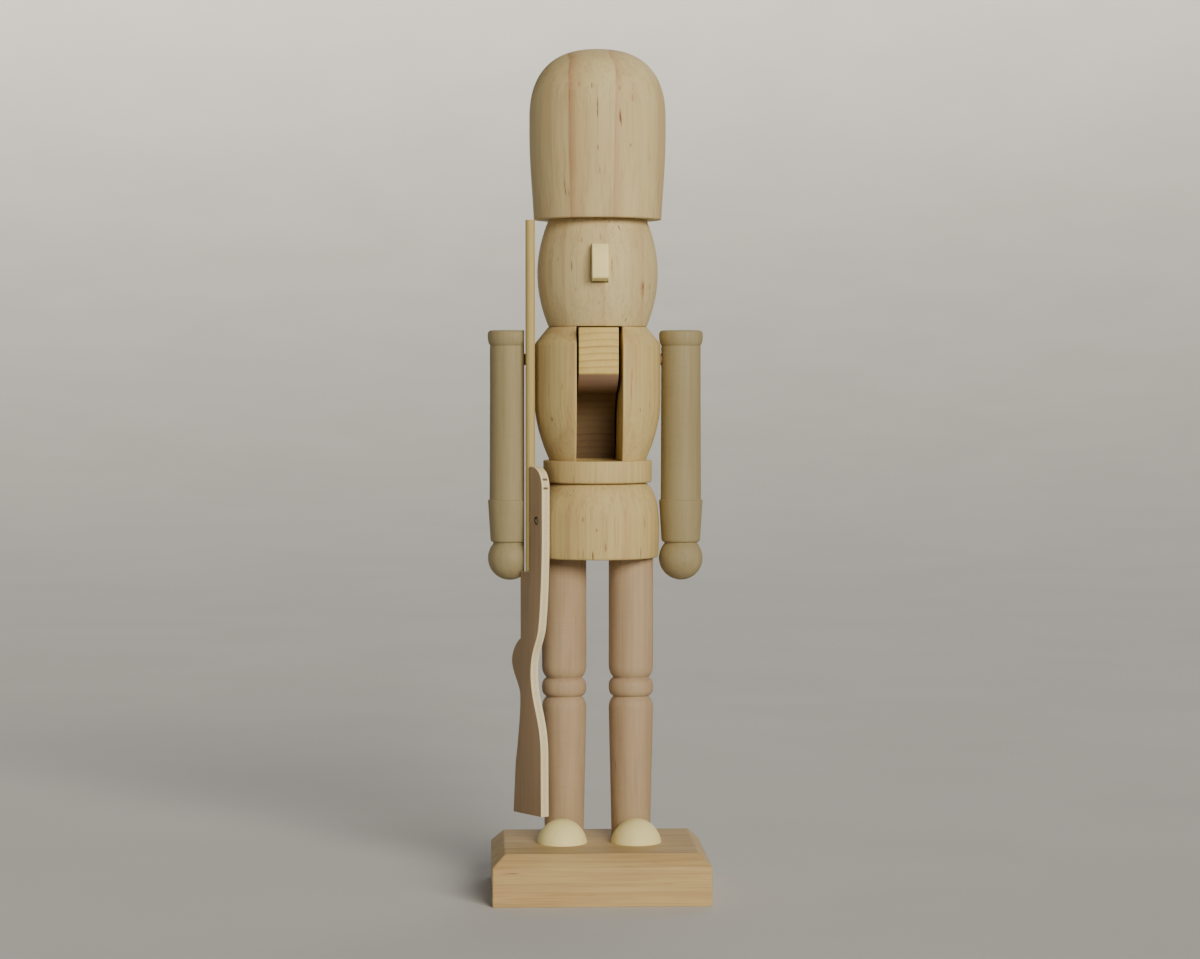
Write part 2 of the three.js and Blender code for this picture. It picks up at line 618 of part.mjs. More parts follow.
place(group, 'base', base(), pine);
for (const [side, word] of [[-1, 'left'], [1, 'right']]) {
  const ankle = jointDowel(LEG_DOWEL_RADIUS, BASE_TOP, LEG_DOWEL_DEPTH);
  const hip = jointDowel(LEG_DOWEL_RADIUS, HEM_Z, LEG_DOWEL_DEPTH);
  const neck = jointDowel(NECK_DOWEL_RADIUS, NECK_Z, NECK_DOWEL_DEPTH);
  place(figure, `leg_${word}`, leg(), beech, [side * LEG_X, 0, 0]);
  place(figure, `toe_${word}`, toe(), birch, [side * TOE_X, 0, 0]);
  place(figure, `ankle_dowel_${word}`, ankle, dowelwood, [side * LEG_X, 0, 0]);
  place(figure, `hip_dowel_${word}`, hip, dowelwood, [side * LEG_X, 0, 0]);
  place(figure, `neck_dowel_${word}`, neck, dowelwood, [side * NECK_DOWEL_X, 0, 0]);
}
place(figure, 'trunk', trunk(), pine);
place(figure, 'head', head(), pine);
place(figure, 'nose', nose(), pine);
place(figure, 'hat_dowel', jointDowel(HAT_DOWEL_RADIUS, HAT_Z, HAT_DOWEL_DEPTH), dowelwood);
place(figure, 'hat', hat(), pine);
place(figure, 'jaw_lever', jawLever(), pine);
place(figure, 'pivot_pin', crossbar(PIVOT_RADIUS, -PIVOT_LENGTH / 2, PIVOT_LENGTH / 2), dowelwood,
  [0, PIVOT_BACK, PIVOT_Z]);
place(figure, 'arm_left', armLeft(), birch, [ARM_LEFT_X, ARM_LEFT_BACK, 0]);
place(figure, 'arm_right', armRight(), birch, [ARM_RIGHT_X, 0, 0]);
place(figure, 'shoulder_peg_left',
  crossbar(SHOULDER_PEG_RADIUS, ARM_LEFT_X - SHOULDER_PEG_IN_ARM, -SHOULDER_PEG_INNER), dowelwood,
  [0, ARM_LEFT_BACK, SHOULDER_PEG_Z]);
place(figure, 'shoulder_peg_right',
  crossbar(SHOULDER_PEG_RADIUS, SHOULDER_PEG_INNER, ARM_RIGHT_X + SHOULDER_PEG_IN_ARM), dowelwood,
  [0, 0, SHOULDER_PEG_Z]);
place(figure, 'rifle_stock', rifleStock(), plywood);
place(figure, 'rifle_barrel', rifleBarrel(), dowelwood);
place(figure, 'rifle_brad', rifleBrad(), steel);

export default group;
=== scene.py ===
"""Unpainted wooden nutcracker soldier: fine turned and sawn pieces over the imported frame.

Metres, +Z up, front towards -Y, left is -X as seen from the front.
"""
import math

import bmesh
import bpy
import numpy as np
from mathutils import Euler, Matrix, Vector


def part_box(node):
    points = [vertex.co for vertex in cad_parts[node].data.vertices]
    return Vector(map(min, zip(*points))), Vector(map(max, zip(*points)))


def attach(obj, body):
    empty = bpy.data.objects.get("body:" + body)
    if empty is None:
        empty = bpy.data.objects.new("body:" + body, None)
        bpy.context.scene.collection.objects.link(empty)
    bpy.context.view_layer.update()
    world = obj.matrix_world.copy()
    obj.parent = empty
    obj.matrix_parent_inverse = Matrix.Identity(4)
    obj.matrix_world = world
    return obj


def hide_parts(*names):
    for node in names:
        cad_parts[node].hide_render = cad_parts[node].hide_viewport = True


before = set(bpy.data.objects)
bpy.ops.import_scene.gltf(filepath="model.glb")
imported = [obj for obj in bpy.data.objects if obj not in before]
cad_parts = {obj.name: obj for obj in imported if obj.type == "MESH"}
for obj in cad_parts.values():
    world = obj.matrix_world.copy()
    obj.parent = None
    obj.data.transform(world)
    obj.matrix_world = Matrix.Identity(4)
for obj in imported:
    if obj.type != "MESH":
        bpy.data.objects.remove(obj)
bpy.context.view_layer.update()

MM = 0.001

# Places read from the frame
BODY_Y = (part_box("hat")[0].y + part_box("hat")[1].y) / 2
BASE_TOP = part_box("base")[1].z
HEM_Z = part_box("trunk")[0].z
NECK_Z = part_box("trunk")[1].z
HAT_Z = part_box("hat")[0].z
TOP_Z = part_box("hat")[1].z
ARM_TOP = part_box("arm_right")[1].z
STOCK_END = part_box("rifle_stock")[0].z
STOCK_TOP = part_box("rifle_stock")[1].z
PIVOT_Y = (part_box("pivot_pin")[0].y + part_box("pivot_pin")[1].y) / 2
PIVOT_Z = (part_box("pivot_pin")[0].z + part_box("pivot_pin")[1].z) / 2

# Fits
SEAT_GAP = 0.3 * MM
GLUE_LINE = 0.03 * MM
FACE_FALL = 0.03 * MM
RUN = 1 * MM
WELD = 1e-7
NEARLY_UPRIGHT = 0.9

# Fineness of the surfaces
AROUND_BODY = 192
AROUND_LIMB = 96
AROUND_DOWEL = 48
CURVE_STEPS = 20
CORNER_STEPS = 5
SHARP_ANGLE = math.radians(38)

# Turned sizes
BELT_BOTTOM = HEM_Z + 22.4 * MM
BELT_TOP = HEM_Z + 29 * MM
SKIRT_RADIUS = 18.4 * MM
SKIRT_HEM_RADIUS = 18.1 * MM
SKIRT_TOP_RADIUS = 14.9 * MM
BELT_RADIUS = 16.2 * MM
BELT_GROOVE_RADIUS = 14.3 * MM
TORSO_RADIUS = 18.8 * MM
WAIST_RADIUS = 14.2 * MM
CHEST_Z = NECK_Z - 22 * MM
SHOULDER_Z = NECK_Z - 5.1 * MM
SHOULDER_TOP_RADIUS = 14.7 * MM
HEAD_END_RADIUS = 14.6 * MM
HEAD_RADIUS = 17.95 * MM
HAT_RIM_RADIUS = 19 * MM
HAT_RADIUS = 20.3 * MM
HAT_WIDEST_Z = TOP_Z - 21.3 * MM
HAT_DOME_POWER = 2.5
LEG_X = 10 * MM
LEG_RADIUS = 6.65 * MM
LEG_ANKLE_RADIUS = 5.8 * MM
LEG_GROOVE_RADIUS = 5.35 * MM
KNEE_BOTTOM = 57.2 * MM
KNEE_TOP = 63.1 * MM
ARM_RADIUS = 6.05 * MM
ARM_WAIST_RADIUS = 5.9 * MM
ARM_BEAD_RADIUS = 6.55 * MM
CUFF_Z = 116.1 * MM
CUFF_END_RADIUS = 5.75 * MM
WRIST_Z = 103.4 * MM
WRIST_RADIUS = 4.95 * MM
HAND_Z = 98.7 * MM
ARM_RIGHT_X = 24.95 * MM
ARM_LEFT_X = -26.2 * MM
ARM_LEFT_Y = BODY_Y + 1 * MM
ARM_FLAT_X = -21.9 * MM

# Sawn sizes
SLOT_HALF = 6.75 * MM
SLOT_EDGE = 0.35 * MM
SLOT_DRAW = 1.12 * MM
CHANNEL_DRAW_SHARE = 0.67
CHANNEL_BACK = 6.2 * MM
LEVER_WIDTH = 11.7 * MM
LEVER_SHIFT = 0.35 * MM
LEVER_TOP_LIFT = 0.12 * MM
LEVER_CROWN_LIFT = 0.36 * MM
NOSE_WIDTH = 4.9 * MM
NOSE_UNDERCUT = 1.1 * MM
STOCK_ANGLE = math.radians(33)
STOCK_THICKNESS = 2.8 * MM
STOCK_PLANE = 20.1 * MM
STOCK_TANGENT_U = 9.38 * MM
BRAD_U = 8.4 * MM
BRAD_Z = 110.4 * MM
BRAD_HOLE_RADIUS = 1.25 * MM
TOE_X = 11 * MM
TOE_FORWARD = 10.8 * MM
TOE_HALF_WIDTH = 7.45 * MM
TOE_HALF_LENGTH = 8.3 * MM
TOE_HEIGHT = 7 * MM
TOE_CROWN_POWER = 1.7

# Plane of the stock
STOCK_FORWARD = np.array([math.sin(STOCK_ANGLE), -math.cos(STOCK_ANGLE), 0])
STOCK_OUTWARD = np.array([-math.cos(STOCK_ANGLE), -math.sin(STOCK_ANGLE), 0])
STOCK_ORIGIN = np.array([0, BODY_Y, 0]) + STOCK_PLANE * STOCK_OUTWARD - STOCK_TANGENT_U * STOCK_FORWARD

# Bores for the dowels
LEG_BORE = (2.3 * MM, 9.3 * MM)
HAT_BORE = (3.3 * MM, 10.3 * MM)
NECK_BORE = (1.8 * MM, 7.3 * MM)
NECK_BORE_X = 10.4 * MM
PEG_BORE_RADIUS = 2.05 * MM
PEG_Z = 158 * MM
PEG_INNER = 12.2 * MM
PEG_IN_ARM = 1.8 * MM
PIVOT_RADIUS = 1.5 * MM
PIVOT_BORE_RADIUS = 1.8 * MM
PIVOT_PROUD = 0.5 * MM


# Surfaces

def bow(start, control, end, steps=CURVE_STEPS):
    """Quadratic curve: (1-t)^2 start + 2t(1-t) control + t^2 end, for t from 0 to 1."""
    t = np.linspace(0, 1, steps)[:, None]
    start, control, end = map(np.asarray, (start, control, end))
    return (1 - t) ** 2 * start + 2 * t * (1 - t) * control + t ** 2 * end


def bow_twice(start, first, second, end, steps=CURVE_STEPS):
    """Cubic curve from start to end, drawn towards the two control points in turn."""
    t = np.linspace(0, 1, steps)[:, None]
    start, first, second, end = map(np.asarray, (start, first, second, end))
    outer = (1 - t) ** 3 * start + t ** 3 * end
    return outer + 3 * t * (1 - t) ** 2 * first + 3 * t ** 2 * (1 - t) * second


def softened(points, sizes, closes=False):
    """Each corner gives way to a quadratic curve that begins and ends its own size away along the lines."""
    points = np.asarray(points, float)
    sizes = np.broadcast_to(np.asarray(sizes, float), len(points)).copy()
    if not closes:
        sizes[[0, -1]] = 0
    back = np.roll(points, 1, axis=0) - points
    ahead = np.roll(points, -1, axis=0) - points
    back_length = np.maximum(np.linalg.norm(back, axis=1), WELD)
    ahead_length = np.maximum(np.linalg.norm(ahead, axis=1), WELD)
    start = points + back * (sizes / back_length)[:, None]
    end = points + ahead * (sizes / ahead_length)[:, None]
    t = np.linspace(0, 1, CORNER_STEPS)[None, :, None]
    arcs = (1 - t) ** 2 * start[:, None] + 2 * t * (1 - t) * points[:, None] + t ** 2 * end[:, None]
    flat = arcs.reshape(-1, points.shape[1])
    gap = np.linalg.norm(flat - np.roll(flat, 1, axis=0), axis=1)
    keep = gap > WELD
    if not closes:
        keep[0] = True
    return flat[keep]


def revolved(profile, centre, around):
    """Profile point (r, z) at the angle a lies at (x0 + r cos a, y0 + r sin a, z)."""
    angle = np.linspace(0, 2 * math.pi, around, endpoint=False)
    radius, height = profile[:, :1], profile[:, 1:]
    x = centre[0] + radius * np.cos(angle)
    y = centre[1] + radius * np.sin(angle)
    return np.stack([x, y, np.broadcast_to(height, x.shape)], axis=-1)


def grid_faces(count, around):
    """Faces over a grid whose rows close on themselves: each takes two neighbours in each of two rows."""
    ring = np.arange(around)
    following = np.roll(ring, -1)
    lower = (np.arange(count - 1) * around)[:, None]
    upper = lower + around
    quads = np.stack([lower + ring, lower + following, upper + following, upper + ring], axis=-1)
    return quads.reshape(-1, 4)


def surface(name, points, faces):
    """New object with a mesh of these points and faces."""
    mesh = bpy.data.meshes.new(name)
    mesh.from_pydata(points.reshape(-1, 3).tolist(), [], faces)
    holder = bpy.data.objects.new(name, mesh)
    bpy.context.scene.collection.objects.link(holder)
    return holder


def skin(name, rows):
    """Closed skin over rows of points: neighbours in the grid make the faces, each row closes on itself,
    and the first and last rows are capped, or weld to one point where they have no width."""
    count, around = rows.shape[:2]
    ring = np.arange(around)
    faces = grid_faces(count, around).tolist()
    for row, order in ((0, ring[::-1]), (count - 1, ring)):
        if np.ptp(rows[row], axis=0).max() > WELD:
            faces.append((row * around + order).tolist())
    piece = surface(f"{name}_piece", rows, faces)
    weld(piece)
    return piece


def weld(piece):
    """Merges points that lie together and turns every face outwards."""
    shape = bmesh.new()
    shape.from_mesh(piece.data)
    bmesh.ops.remove_doubles(shape, verts=shape.verts, dist=WELD)
    bmesh.ops.recalc_face_normals(shape, faces=shape.faces)
    shape.to_mesh(piece.data)
    shape.free()


def turned(name, profile, centre, around=AROUND_LIMB):
    """Closed skin over a profile revolved about an upright line through the centre."""
    return skin(name, revolved(np.asarray(profile, float), centre, around))


def combine(piece, others, operation):
    """Joins or cuts a piece with other closed shapes, which are used up."""
    for other in others:
        step = piece.modifiers.new("combine", "BOOLEAN")
        step.operation = operation
        step.object = other
        step.solver = "EXACT"
    seen = bpy.context.evaluated_depsgraph_get()
    mesh = bpy.data.meshes.new_from_object(piece.evaluated_get(seen))
    piece.modifiers.clear()
    piece.data = mesh
    mesh.name = piece.name
    for other in others:
        bpy.data.objects.remove(other)
    weld(piece)
    return piece


def block(low, high):
    """Cutter: a plain block between two corners, as a skin over two rectangles."""
    x = np.array([low[0], high[0], high[0], low[0]])
    y = np.array([low[1], low[1], high[1], high[1]])
    rows = np.stack([np.stack([x, y, np.full(4, z)], axis=-1) for z in (low[2], high[2])])
    return skin("cutter", rows)


def rod(radius, start, end, name="cutter", edge=0.0):
    """Round bar from one point to another: a circle about the line between them,
    drawn in by edge at both ends."""
    start, end = np.asarray(start, float), np.asarray(end, float)
    length = np.linalg.norm(end - start)
    along = (end - start) / length
    side = np.cross(along, (0, 0, 1) if abs(along[2]) < NEARLY_UPRIGHT else (1, 0, 0))
    side /= np.linalg.norm(side)
    other = np.cross(along, side)
    corners = [(0, 0), (radius, 0), (radius, length), (0, length)]
    profile = softened(corners, edge) if edge else np.array(corners)
    local = revolved(profile, (0, 0), AROUND_DOWEL)
    rows = start + local[..., :1] * side + local[..., 1:2] * other + local[..., 2:] * along
    return skin(name, rows)


def sawn(name, outline, thickness, edge, place):
    """Outline carried across a board: near each face it is drawn in along its own normals,
    by edge (1 - cos a) at the depth edge (1 - sin a) below the face, for a from 0 to a quarter turn."""
    ahead = np.roll(outline, -1, axis=0) - np.roll(outline, 1, axis=0)
    area = np.sum(outline[:, 0] * np.roll(outline[:, 1], -1) - outline[:, 1] * np.roll(outline[:, 0], -1))
    inward = np.stack([-ahead[:, 1], ahead[:, 0]], axis=-1) * np.sign(area)
    inward /= np.linalg.norm(inward, axis=1, keepdims=True)
    quarter = np.linspace(0, math.pi / 2, CORNER_STEPS)
    depth = thickness / 2 - edge + edge * np.sin(quarter)
    drawn = edge * (1 - np.cos(quarter))
    depths = np.concatenate([-depth[::-1], depth])
    drawn = np.concatenate([drawn[::-1], drawn])
    flat = outline[None] + inward[None] * drawn[:, None, None]
    return skin(name, place(flat[..., 0], flat[..., 1], depths[:, None]))


def across(u, v, w):
    """Board across X: u runs back from the body axis, v is the height and w the place across."""
    return np.stack([np.broadcast_to(w, u.shape), BODY_Y + u, v], axis=-1)


def across_lever(u, v, w):
    """Board across X that lies a little to one side in its slot."""
    return across(u, v, w - LEVER_SHIFT)


def beside_skirt(u, v, w):
    """Board of the stock: u runs forward in its plane, v is the height and w points out to the side."""
    up = np.array([0, 0, 1])
    w = np.broadcast_to(w, u.shape)
    return STOCK_ORIGIN + u[..., None] * STOCK_FORWARD + v[..., None] * up + w[..., None] * STOCK_OUTWARD


# Pieces

def make_base():
    """Rectangles with round corners, stacked from the underside over the edge and the bevel to the top."""
    low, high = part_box("base")
    bevel, corner, edge = 3.7 * MM, 0.6 * MM, 0.35 * MM
    half = np.array([(high.x - low.x) / 2, (high.y - low.y) / 2])
    path = softened(
        [(corner + edge, 0), (0, 0), (0, high.z - bevel), (bevel, high.z), (bevel + 2 * edge, high.z)],
        [0, edge, edge, edge, 0],
    )
    quarter = np.linspace(0, math.pi / 2, CORNER_STEPS)
    angle = np.concatenate([quarter + turn * math.pi / 2 for turn in range(4)])
    signs = np.repeat(np.array([(1, 1), (-1, 1), (-1, -1), (1, -1)]), CORNER_STEPS, axis=0)
    reach = (half - corner)[None, None] - path[:, :1, None]
    circle = corner * np.stack([np.cos(angle), np.sin(angle)], axis=-1)
    flat = signs[None] * reach + circle[None]
    height = np.broadcast_to(path[:, 1:, None], flat.shape[:2] + (1,))
    piece = skin("base", np.concatenate([flat, height], axis=-1))
    radius, depth = LEG_BORE
    low_end, high_end = BASE_TOP - depth, BASE_TOP + RUN
    bores = [rod(radius, (x, BODY_Y, low_end), (x, BODY_Y, high_end)) for x in (-LEG_X, LEG_X)]
    return combine(piece, bores, "DIFFERENCE")


def make_leg(side):
    """Turned: bored at both ends, boot, knee bead between two grooves, thigh.
    Boot, bead and thigh run down to the grooves in quadratic curves."""
    radius, depth = LEG_BORE
    groove, round_off = 0.25 * MM, 0.3 * MM
    swell, swell_pull = 3.6 * MM, 1.2 * MM
    bead, bead_pull = 2.8 * MM, 0.8 * MM
    boot = bow((LEG_RADIUS, KNEE_BOTTOM - swell), (LEG_RADIUS, KNEE_BOTTOM - swell_pull),
               (LEG_GROOVE_RADIUS, KNEE_BOTTOM))
    low_bead = bow((LEG_GROOVE_RADIUS, KNEE_BOTTOM + groove), (LEG_RADIUS, KNEE_BOTTOM + bead_pull),
                   (LEG_RADIUS, KNEE_BOTTOM + bead))
    high_bead = bow((LEG_RADIUS, KNEE_TOP - bead), (LEG_RADIUS, KNEE_TOP - bead_pull),
                    (LEG_GROOVE_RADIUS, KNEE_TOP - groove))
    thigh = bow((LEG_GROOVE_RADIUS, KNEE_TOP), (LEG_RADIUS, KNEE_TOP + swell_pull),
                (LEG_RADIUS, KNEE_TOP + swell))
    foot = softened([(0, BASE_TOP + depth), (radius, BASE_TOP + depth), (radius, BASE_TOP),
                     (LEG_ANKLE_RADIUS, BASE_TOP), tuple(boot[0])], [0, 0, 0, round_off, 0])
    top = softened([tuple(thigh[-1]), (LEG_RADIUS, HEM_Z), (radius, HEM_Z),
                    (radius, HEM_Z - depth), (0, HEM_Z - depth)], [0, round_off, 0, 0, 0])
    profile = np.vstack([foot, boot[1:], low_bead, high_bead, thigh[:-1], top])
    word = "left" if side < 0 else "right"
    return turned(f"leg_{word}", profile, (side * LEG_X, BODY_Y))


def make_toe(side):
    """Half egg: at the angle a and the share t of the height, the point lies at the share sqrt(1 - t^p)
    of the half sizes, and no further back than the saw cut against the leg."""
    angle = np.linspace(0, 2 * math.pi, AROUND_LIMB, endpoint=False)
    rise = np.sin(np.linspace(0, math.pi / 2, 2 * CURVE_STEPS)) ** 2
    share = np.sqrt(np.clip(1 - rise ** TOE_CROWN_POWER, 0, 1))
    x = side * TOE_X + TOE_HALF_WIDTH * share[:, None] * np.cos(angle)
    y = TOE_HALF_LENGTH * share[:, None] * np.sin(angle)
    y = np.minimum(y, TOE_FORWARD - LEG_RADIUS + SEAT_GAP / 2) + BODY_Y - TOE_FORWARD
    z = np.broadcast_to((BASE_TOP + TOE_HEIGHT * rise)[:, None], x.shape)
    word = "left" if side < 0 else "right"
    return skin(f"toe_{word}", np.stack([x, y, z], axis=-1))


def lip(radius, wall):
    """Rounded corner between a circle and a wall of the slot, at the back on the right: an arc with
    the radius of the slot's edge, from the circle to the wall. The second result is the angle
    at which it leaves the circle."""
    reach = wall + SLOT_EDGE
    corner_y = np.sqrt((radius - SLOT_EDGE) ** 2 - reach ** 2)
    tilt = np.arctan2(corner_y, reach)[:, None]
    turn = tilt + (math.pi - tilt) * np.linspace(0, 1, CORNER_STEPS)
    x = reach + SLOT_EDGE * np.cos(turn)
    y = corner_y[:, None] + SLOT_EDGE * np.sin(turn)
    return np.stack([x, y], axis=-1), tilt


def circle_part(radius, start, end, steps):
    """Points on circles from one angle to another, without the ends."""
    turn = start + (end - start) * np.linspace(0, 1, steps)[1:-1]
    return radius[:, None, None] * np.stack([np.cos(turn), np.sin(turn)], axis=-1)


def slotted_outline(radius, front):
    """Section through the skirt: a circle with a channel sawn in from behind.
    The right wall of the channel is drawn in to the back."""
    half = SLOT_HALF + GLUE_LINE
    right, right_tilt = lip(radius, half - SLOT_DRAW)
    left, left_tilt = lip(radius, half)
    left = left[:, ::-1] * np.array([-1, 1])
    floor = np.array([(half - CHANNEL_DRAW_SHARE * SLOT_DRAW, front), (-half, front)])
    floor = np.broadcast_to(floor, (len(radius), 2, 2))
    ring = circle_part(radius, math.pi - left_tilt, 2 * math.pi + right_tilt, AROUND_BODY)
    return np.concatenate([right, floor, left, ring], axis=1)


def cheek_outline(radius, side):
    """Section through one cheek of the torso: the part of a circle beyond the slot, with round corners.
    The wall of the right one is drawn in to the back."""
    draw = SLOT_DRAW if side > 0 else 0
    back, back_tilt = lip(radius, SLOT_HALF - draw)
    front, front_tilt = lip(radius, SLOT_HALF)
    front = front[:, ::-1] * np.array([1, -1])
    ring = circle_part(radius, -front_tilt, back_tilt, AROUND_BODY // 2)
    return np.concatenate([back, front, ring], axis=1) * np.array([side, 1])


def stacked(name, outline, height):
    """Skin over outlines about the body axis, each at its own height."""
    level = np.broadcast_to(height[:, None, None], outline.shape[:2] + (1,))
    return skin(name, np.concatenate([outline, level], axis=-1) + np.array([0, BODY_Y, 0]))


def make_trunk():
    """Skirt and belt as one stack of slotted sections, joined to the two cheeks of the torso and bored."""
    wide, narrowing = HEM_Z + 9.5 * MM, HEM_Z + 18.6 * MM
    hem_face, hem_rise = 2 * MM, 5 * MM
    hem_round, hem_bend = 0.7 * MM, 2 * MM
    groove, groove_mouth = 0.25 * MM, 0.4 * MM
    groove_round, belt_round, belt_top_round = 0.1 * MM, 0.7 * MM, 0.35 * MM
    skirt = bow((SKIRT_RADIUS, wide), (SKIRT_RADIUS, narrowing),
                (SKIRT_TOP_RADIUS, BELT_BOTTOM - groove_mouth))
    hem = softened([(SKIRT_HEM_RADIUS - hem_face, HEM_Z + FACE_FALL), (SKIRT_HEM_RADIUS, HEM_Z),
                    (SKIRT_RADIUS, HEM_Z + hem_rise), tuple(skirt[0])],
                   [0, hem_round, hem_bend, 0])
    belt = softened([tuple(skirt[-1]), (BELT_GROOVE_RADIUS, BELT_BOTTOM - groove),
                     (BELT_GROOVE_RADIUS, BELT_BOTTOM), (BELT_RADIUS, BELT_BOTTOM + FACE_FALL),
                     (BELT_RADIUS, BELT_TOP - FACE_FALL), (BELT_GROOVE_RADIUS, BELT_TOP)],
                    [0, groove_round, groove_round, belt_round, belt_top_round, 0])
    lower = np.vstack([hem, skirt[1:-1], belt])
    piece = stacked("trunk", slotted_outline(lower[:, 0], CHANNEL_BACK), lower[:, 1])

    sunk, chest_pull, neck_face = 0.4 * MM, 9.6 * MM, 2 * MM
    shoulder_round, neck_round = 0.8 * MM, 0.4 * MM
    chest = bow((WAIST_RADIUS, BELT_TOP - sunk), (TORSO_RADIUS, BELT_TOP + chest_pull),
                (TORSO_RADIUS, CHEST_Z), 2 * CURVE_STEPS)
    shoulder = softened([tuple(chest[-1]), (TORSO_RADIUS, SHOULDER_Z),
                         (SHOULDER_TOP_RADIUS, NECK_Z - FACE_FALL),
                         (SHOULDER_TOP_RADIUS - neck_face, NECK_Z)],
                        [0, shoulder_round, neck_round, 0])
    torso = np.vstack([chest[:-1], shoulder])
    cheeks = [stacked("cheek", cheek_outline(torso[:, 0], side), torso[:, 1]) for side in (-1, 1)]
    combine(piece, cheeks, "UNION")

    far = 2 * TORSO_RADIUS
    bores = [rod(PIVOT_RADIUS + GLUE_LINE, (-far, PIVOT_Y, PIVOT_Z), (far, PIVOT_Y, PIVOT_Z))]
    for side, peg_y in ((-1, ARM_LEFT_Y), (1, BODY_Y)):
        radius, depth = LEG_BORE
        leg_x = side * LEG_X
        bores.append(rod(radius, (leg_x, BODY_Y, HEM_Z - RUN), (leg_x, BODY_Y, HEM_Z + depth)))
        radius, depth = NECK_BORE
        neck_x = side * NECK_BORE_X
        bores.append(rod(radius, (neck_x, BODY_Y, NECK_Z - depth), (neck_x, BODY_Y, NECK_Z + RUN)))
        bores.append(rod(PEG_BORE_RADIUS, (side * PEG_INNER, peg_y, PEG_Z), (side * far, peg_y, PEG_Z)))
    return combine(piece, bores, "DIFFERENCE")


def make_head():
    """Turned barrel, bored for the hat, then cut for the nose and the two neck dowels."""
    radius, depth = HAT_BORE
    middle = (NECK_Z + HAT_Z) / 2
    side = bow((HEAD_END_RADIUS, NECK_Z), (2 * HEAD_RADIUS - HEAD_END_RADIUS, middle),
               (HEAD_END_RADIUS, HAT_Z), 3 * CURVE_STEPS)
    edge = 0.35 * MM
    hat_bore = [(radius, HAT_Z), (radius, HAT_Z - depth), (0, HAT_Z - depth)]
    corners = np.vstack([[(0, NECK_Z)], side, hat_bore])
    sizes = np.zeros(len(corners))
    sizes[[1, len(side)]] = edge
    piece = turned("head", softened(corners, sizes), (0, BODY_Y), AROUND_BODY)
    low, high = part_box("nose")
    mortise = block((low.x - GLUE_LINE, low.y, low.z - GLUE_LINE),
                    (high.x + GLUE_LINE, high.y + GLUE_LINE, high.z + GLUE_LINE))
    radius, depth = NECK_BORE
    low_end, high_end = NECK_Z - RUN, NECK_Z + depth
    bores = [rod(radius, (x, BODY_Y, low_end), (x, BODY_Y, high_end)) for x in (-NECK_BORE_X, NECK_BORE_X)]
    return combine(piece, [mortise, *bores], "DIFFERENCE")


def make_nose():
    """Sawn block whose brow slopes back to the head."""
    low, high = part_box("nose")
    front, back = low.y - BODY_Y, high.y - BODY_Y
    top, bridge, tip = -HEAD_RADIUS - 1 * MM, high.z - 2.5 * MM, low.z + 4 * MM
    brow = bow((top, high.z), (front + 0.6 * MM, bridge), (front, tip))
    corners = np.vstack([[(back, low.z), (back, high.z)], brow, [(front, low.z + NOSE_UNDERCUT)]])
    sizes = np.zeros(len(corners))
    sizes[2] = 0.4 * MM
    sizes[-1] = 0.7 * MM
    return sawn("nose", softened(corners, sizes, closes=True), NOSE_WIDTH, 0.4 * MM, across)


def make_hat():
    """Turned busby: bored rim, sides that swell upwards, and a dome (r/R)^p + (h/H)^p = 1."""
    radius, depth = HAT_BORE
    angle = np.linspace(0, math.pi / 2, 3 * CURVE_STEPS)
    dome = np.stack([
        HAT_RADIUS * np.clip(np.cos(angle), 0, 1) ** (2 / HAT_DOME_POWER),
        HAT_WIDEST_Z + (TOP_Z - HAT_WIDEST_Z) * np.sin(angle) ** (2 / HAT_DOME_POWER),
    ], axis=-1)
    dome[-1, 0] = 0
    edge = 0.35 * MM
    low_end, swell, high_end = HAT_Z + 6 * MM, HAT_Z + 18 * MM, HAT_WIDEST_Z - 3 * MM
    side = bow((HAT_RIM_RADIUS + edge, low_end), (HAT_RADIUS, swell), (HAT_RADIUS, high_end))
    rim = softened([(0, HAT_Z + depth), (radius, HAT_Z + depth), (radius, HAT_Z), (HAT_RIM_RADIUS, HAT_Z),
                    tuple(side[0])], [0, 0, 0, edge, 0])
    return turned("hat", np.vstack([rim, side[1:], dome]), (0, BODY_Y), AROUND_BODY)


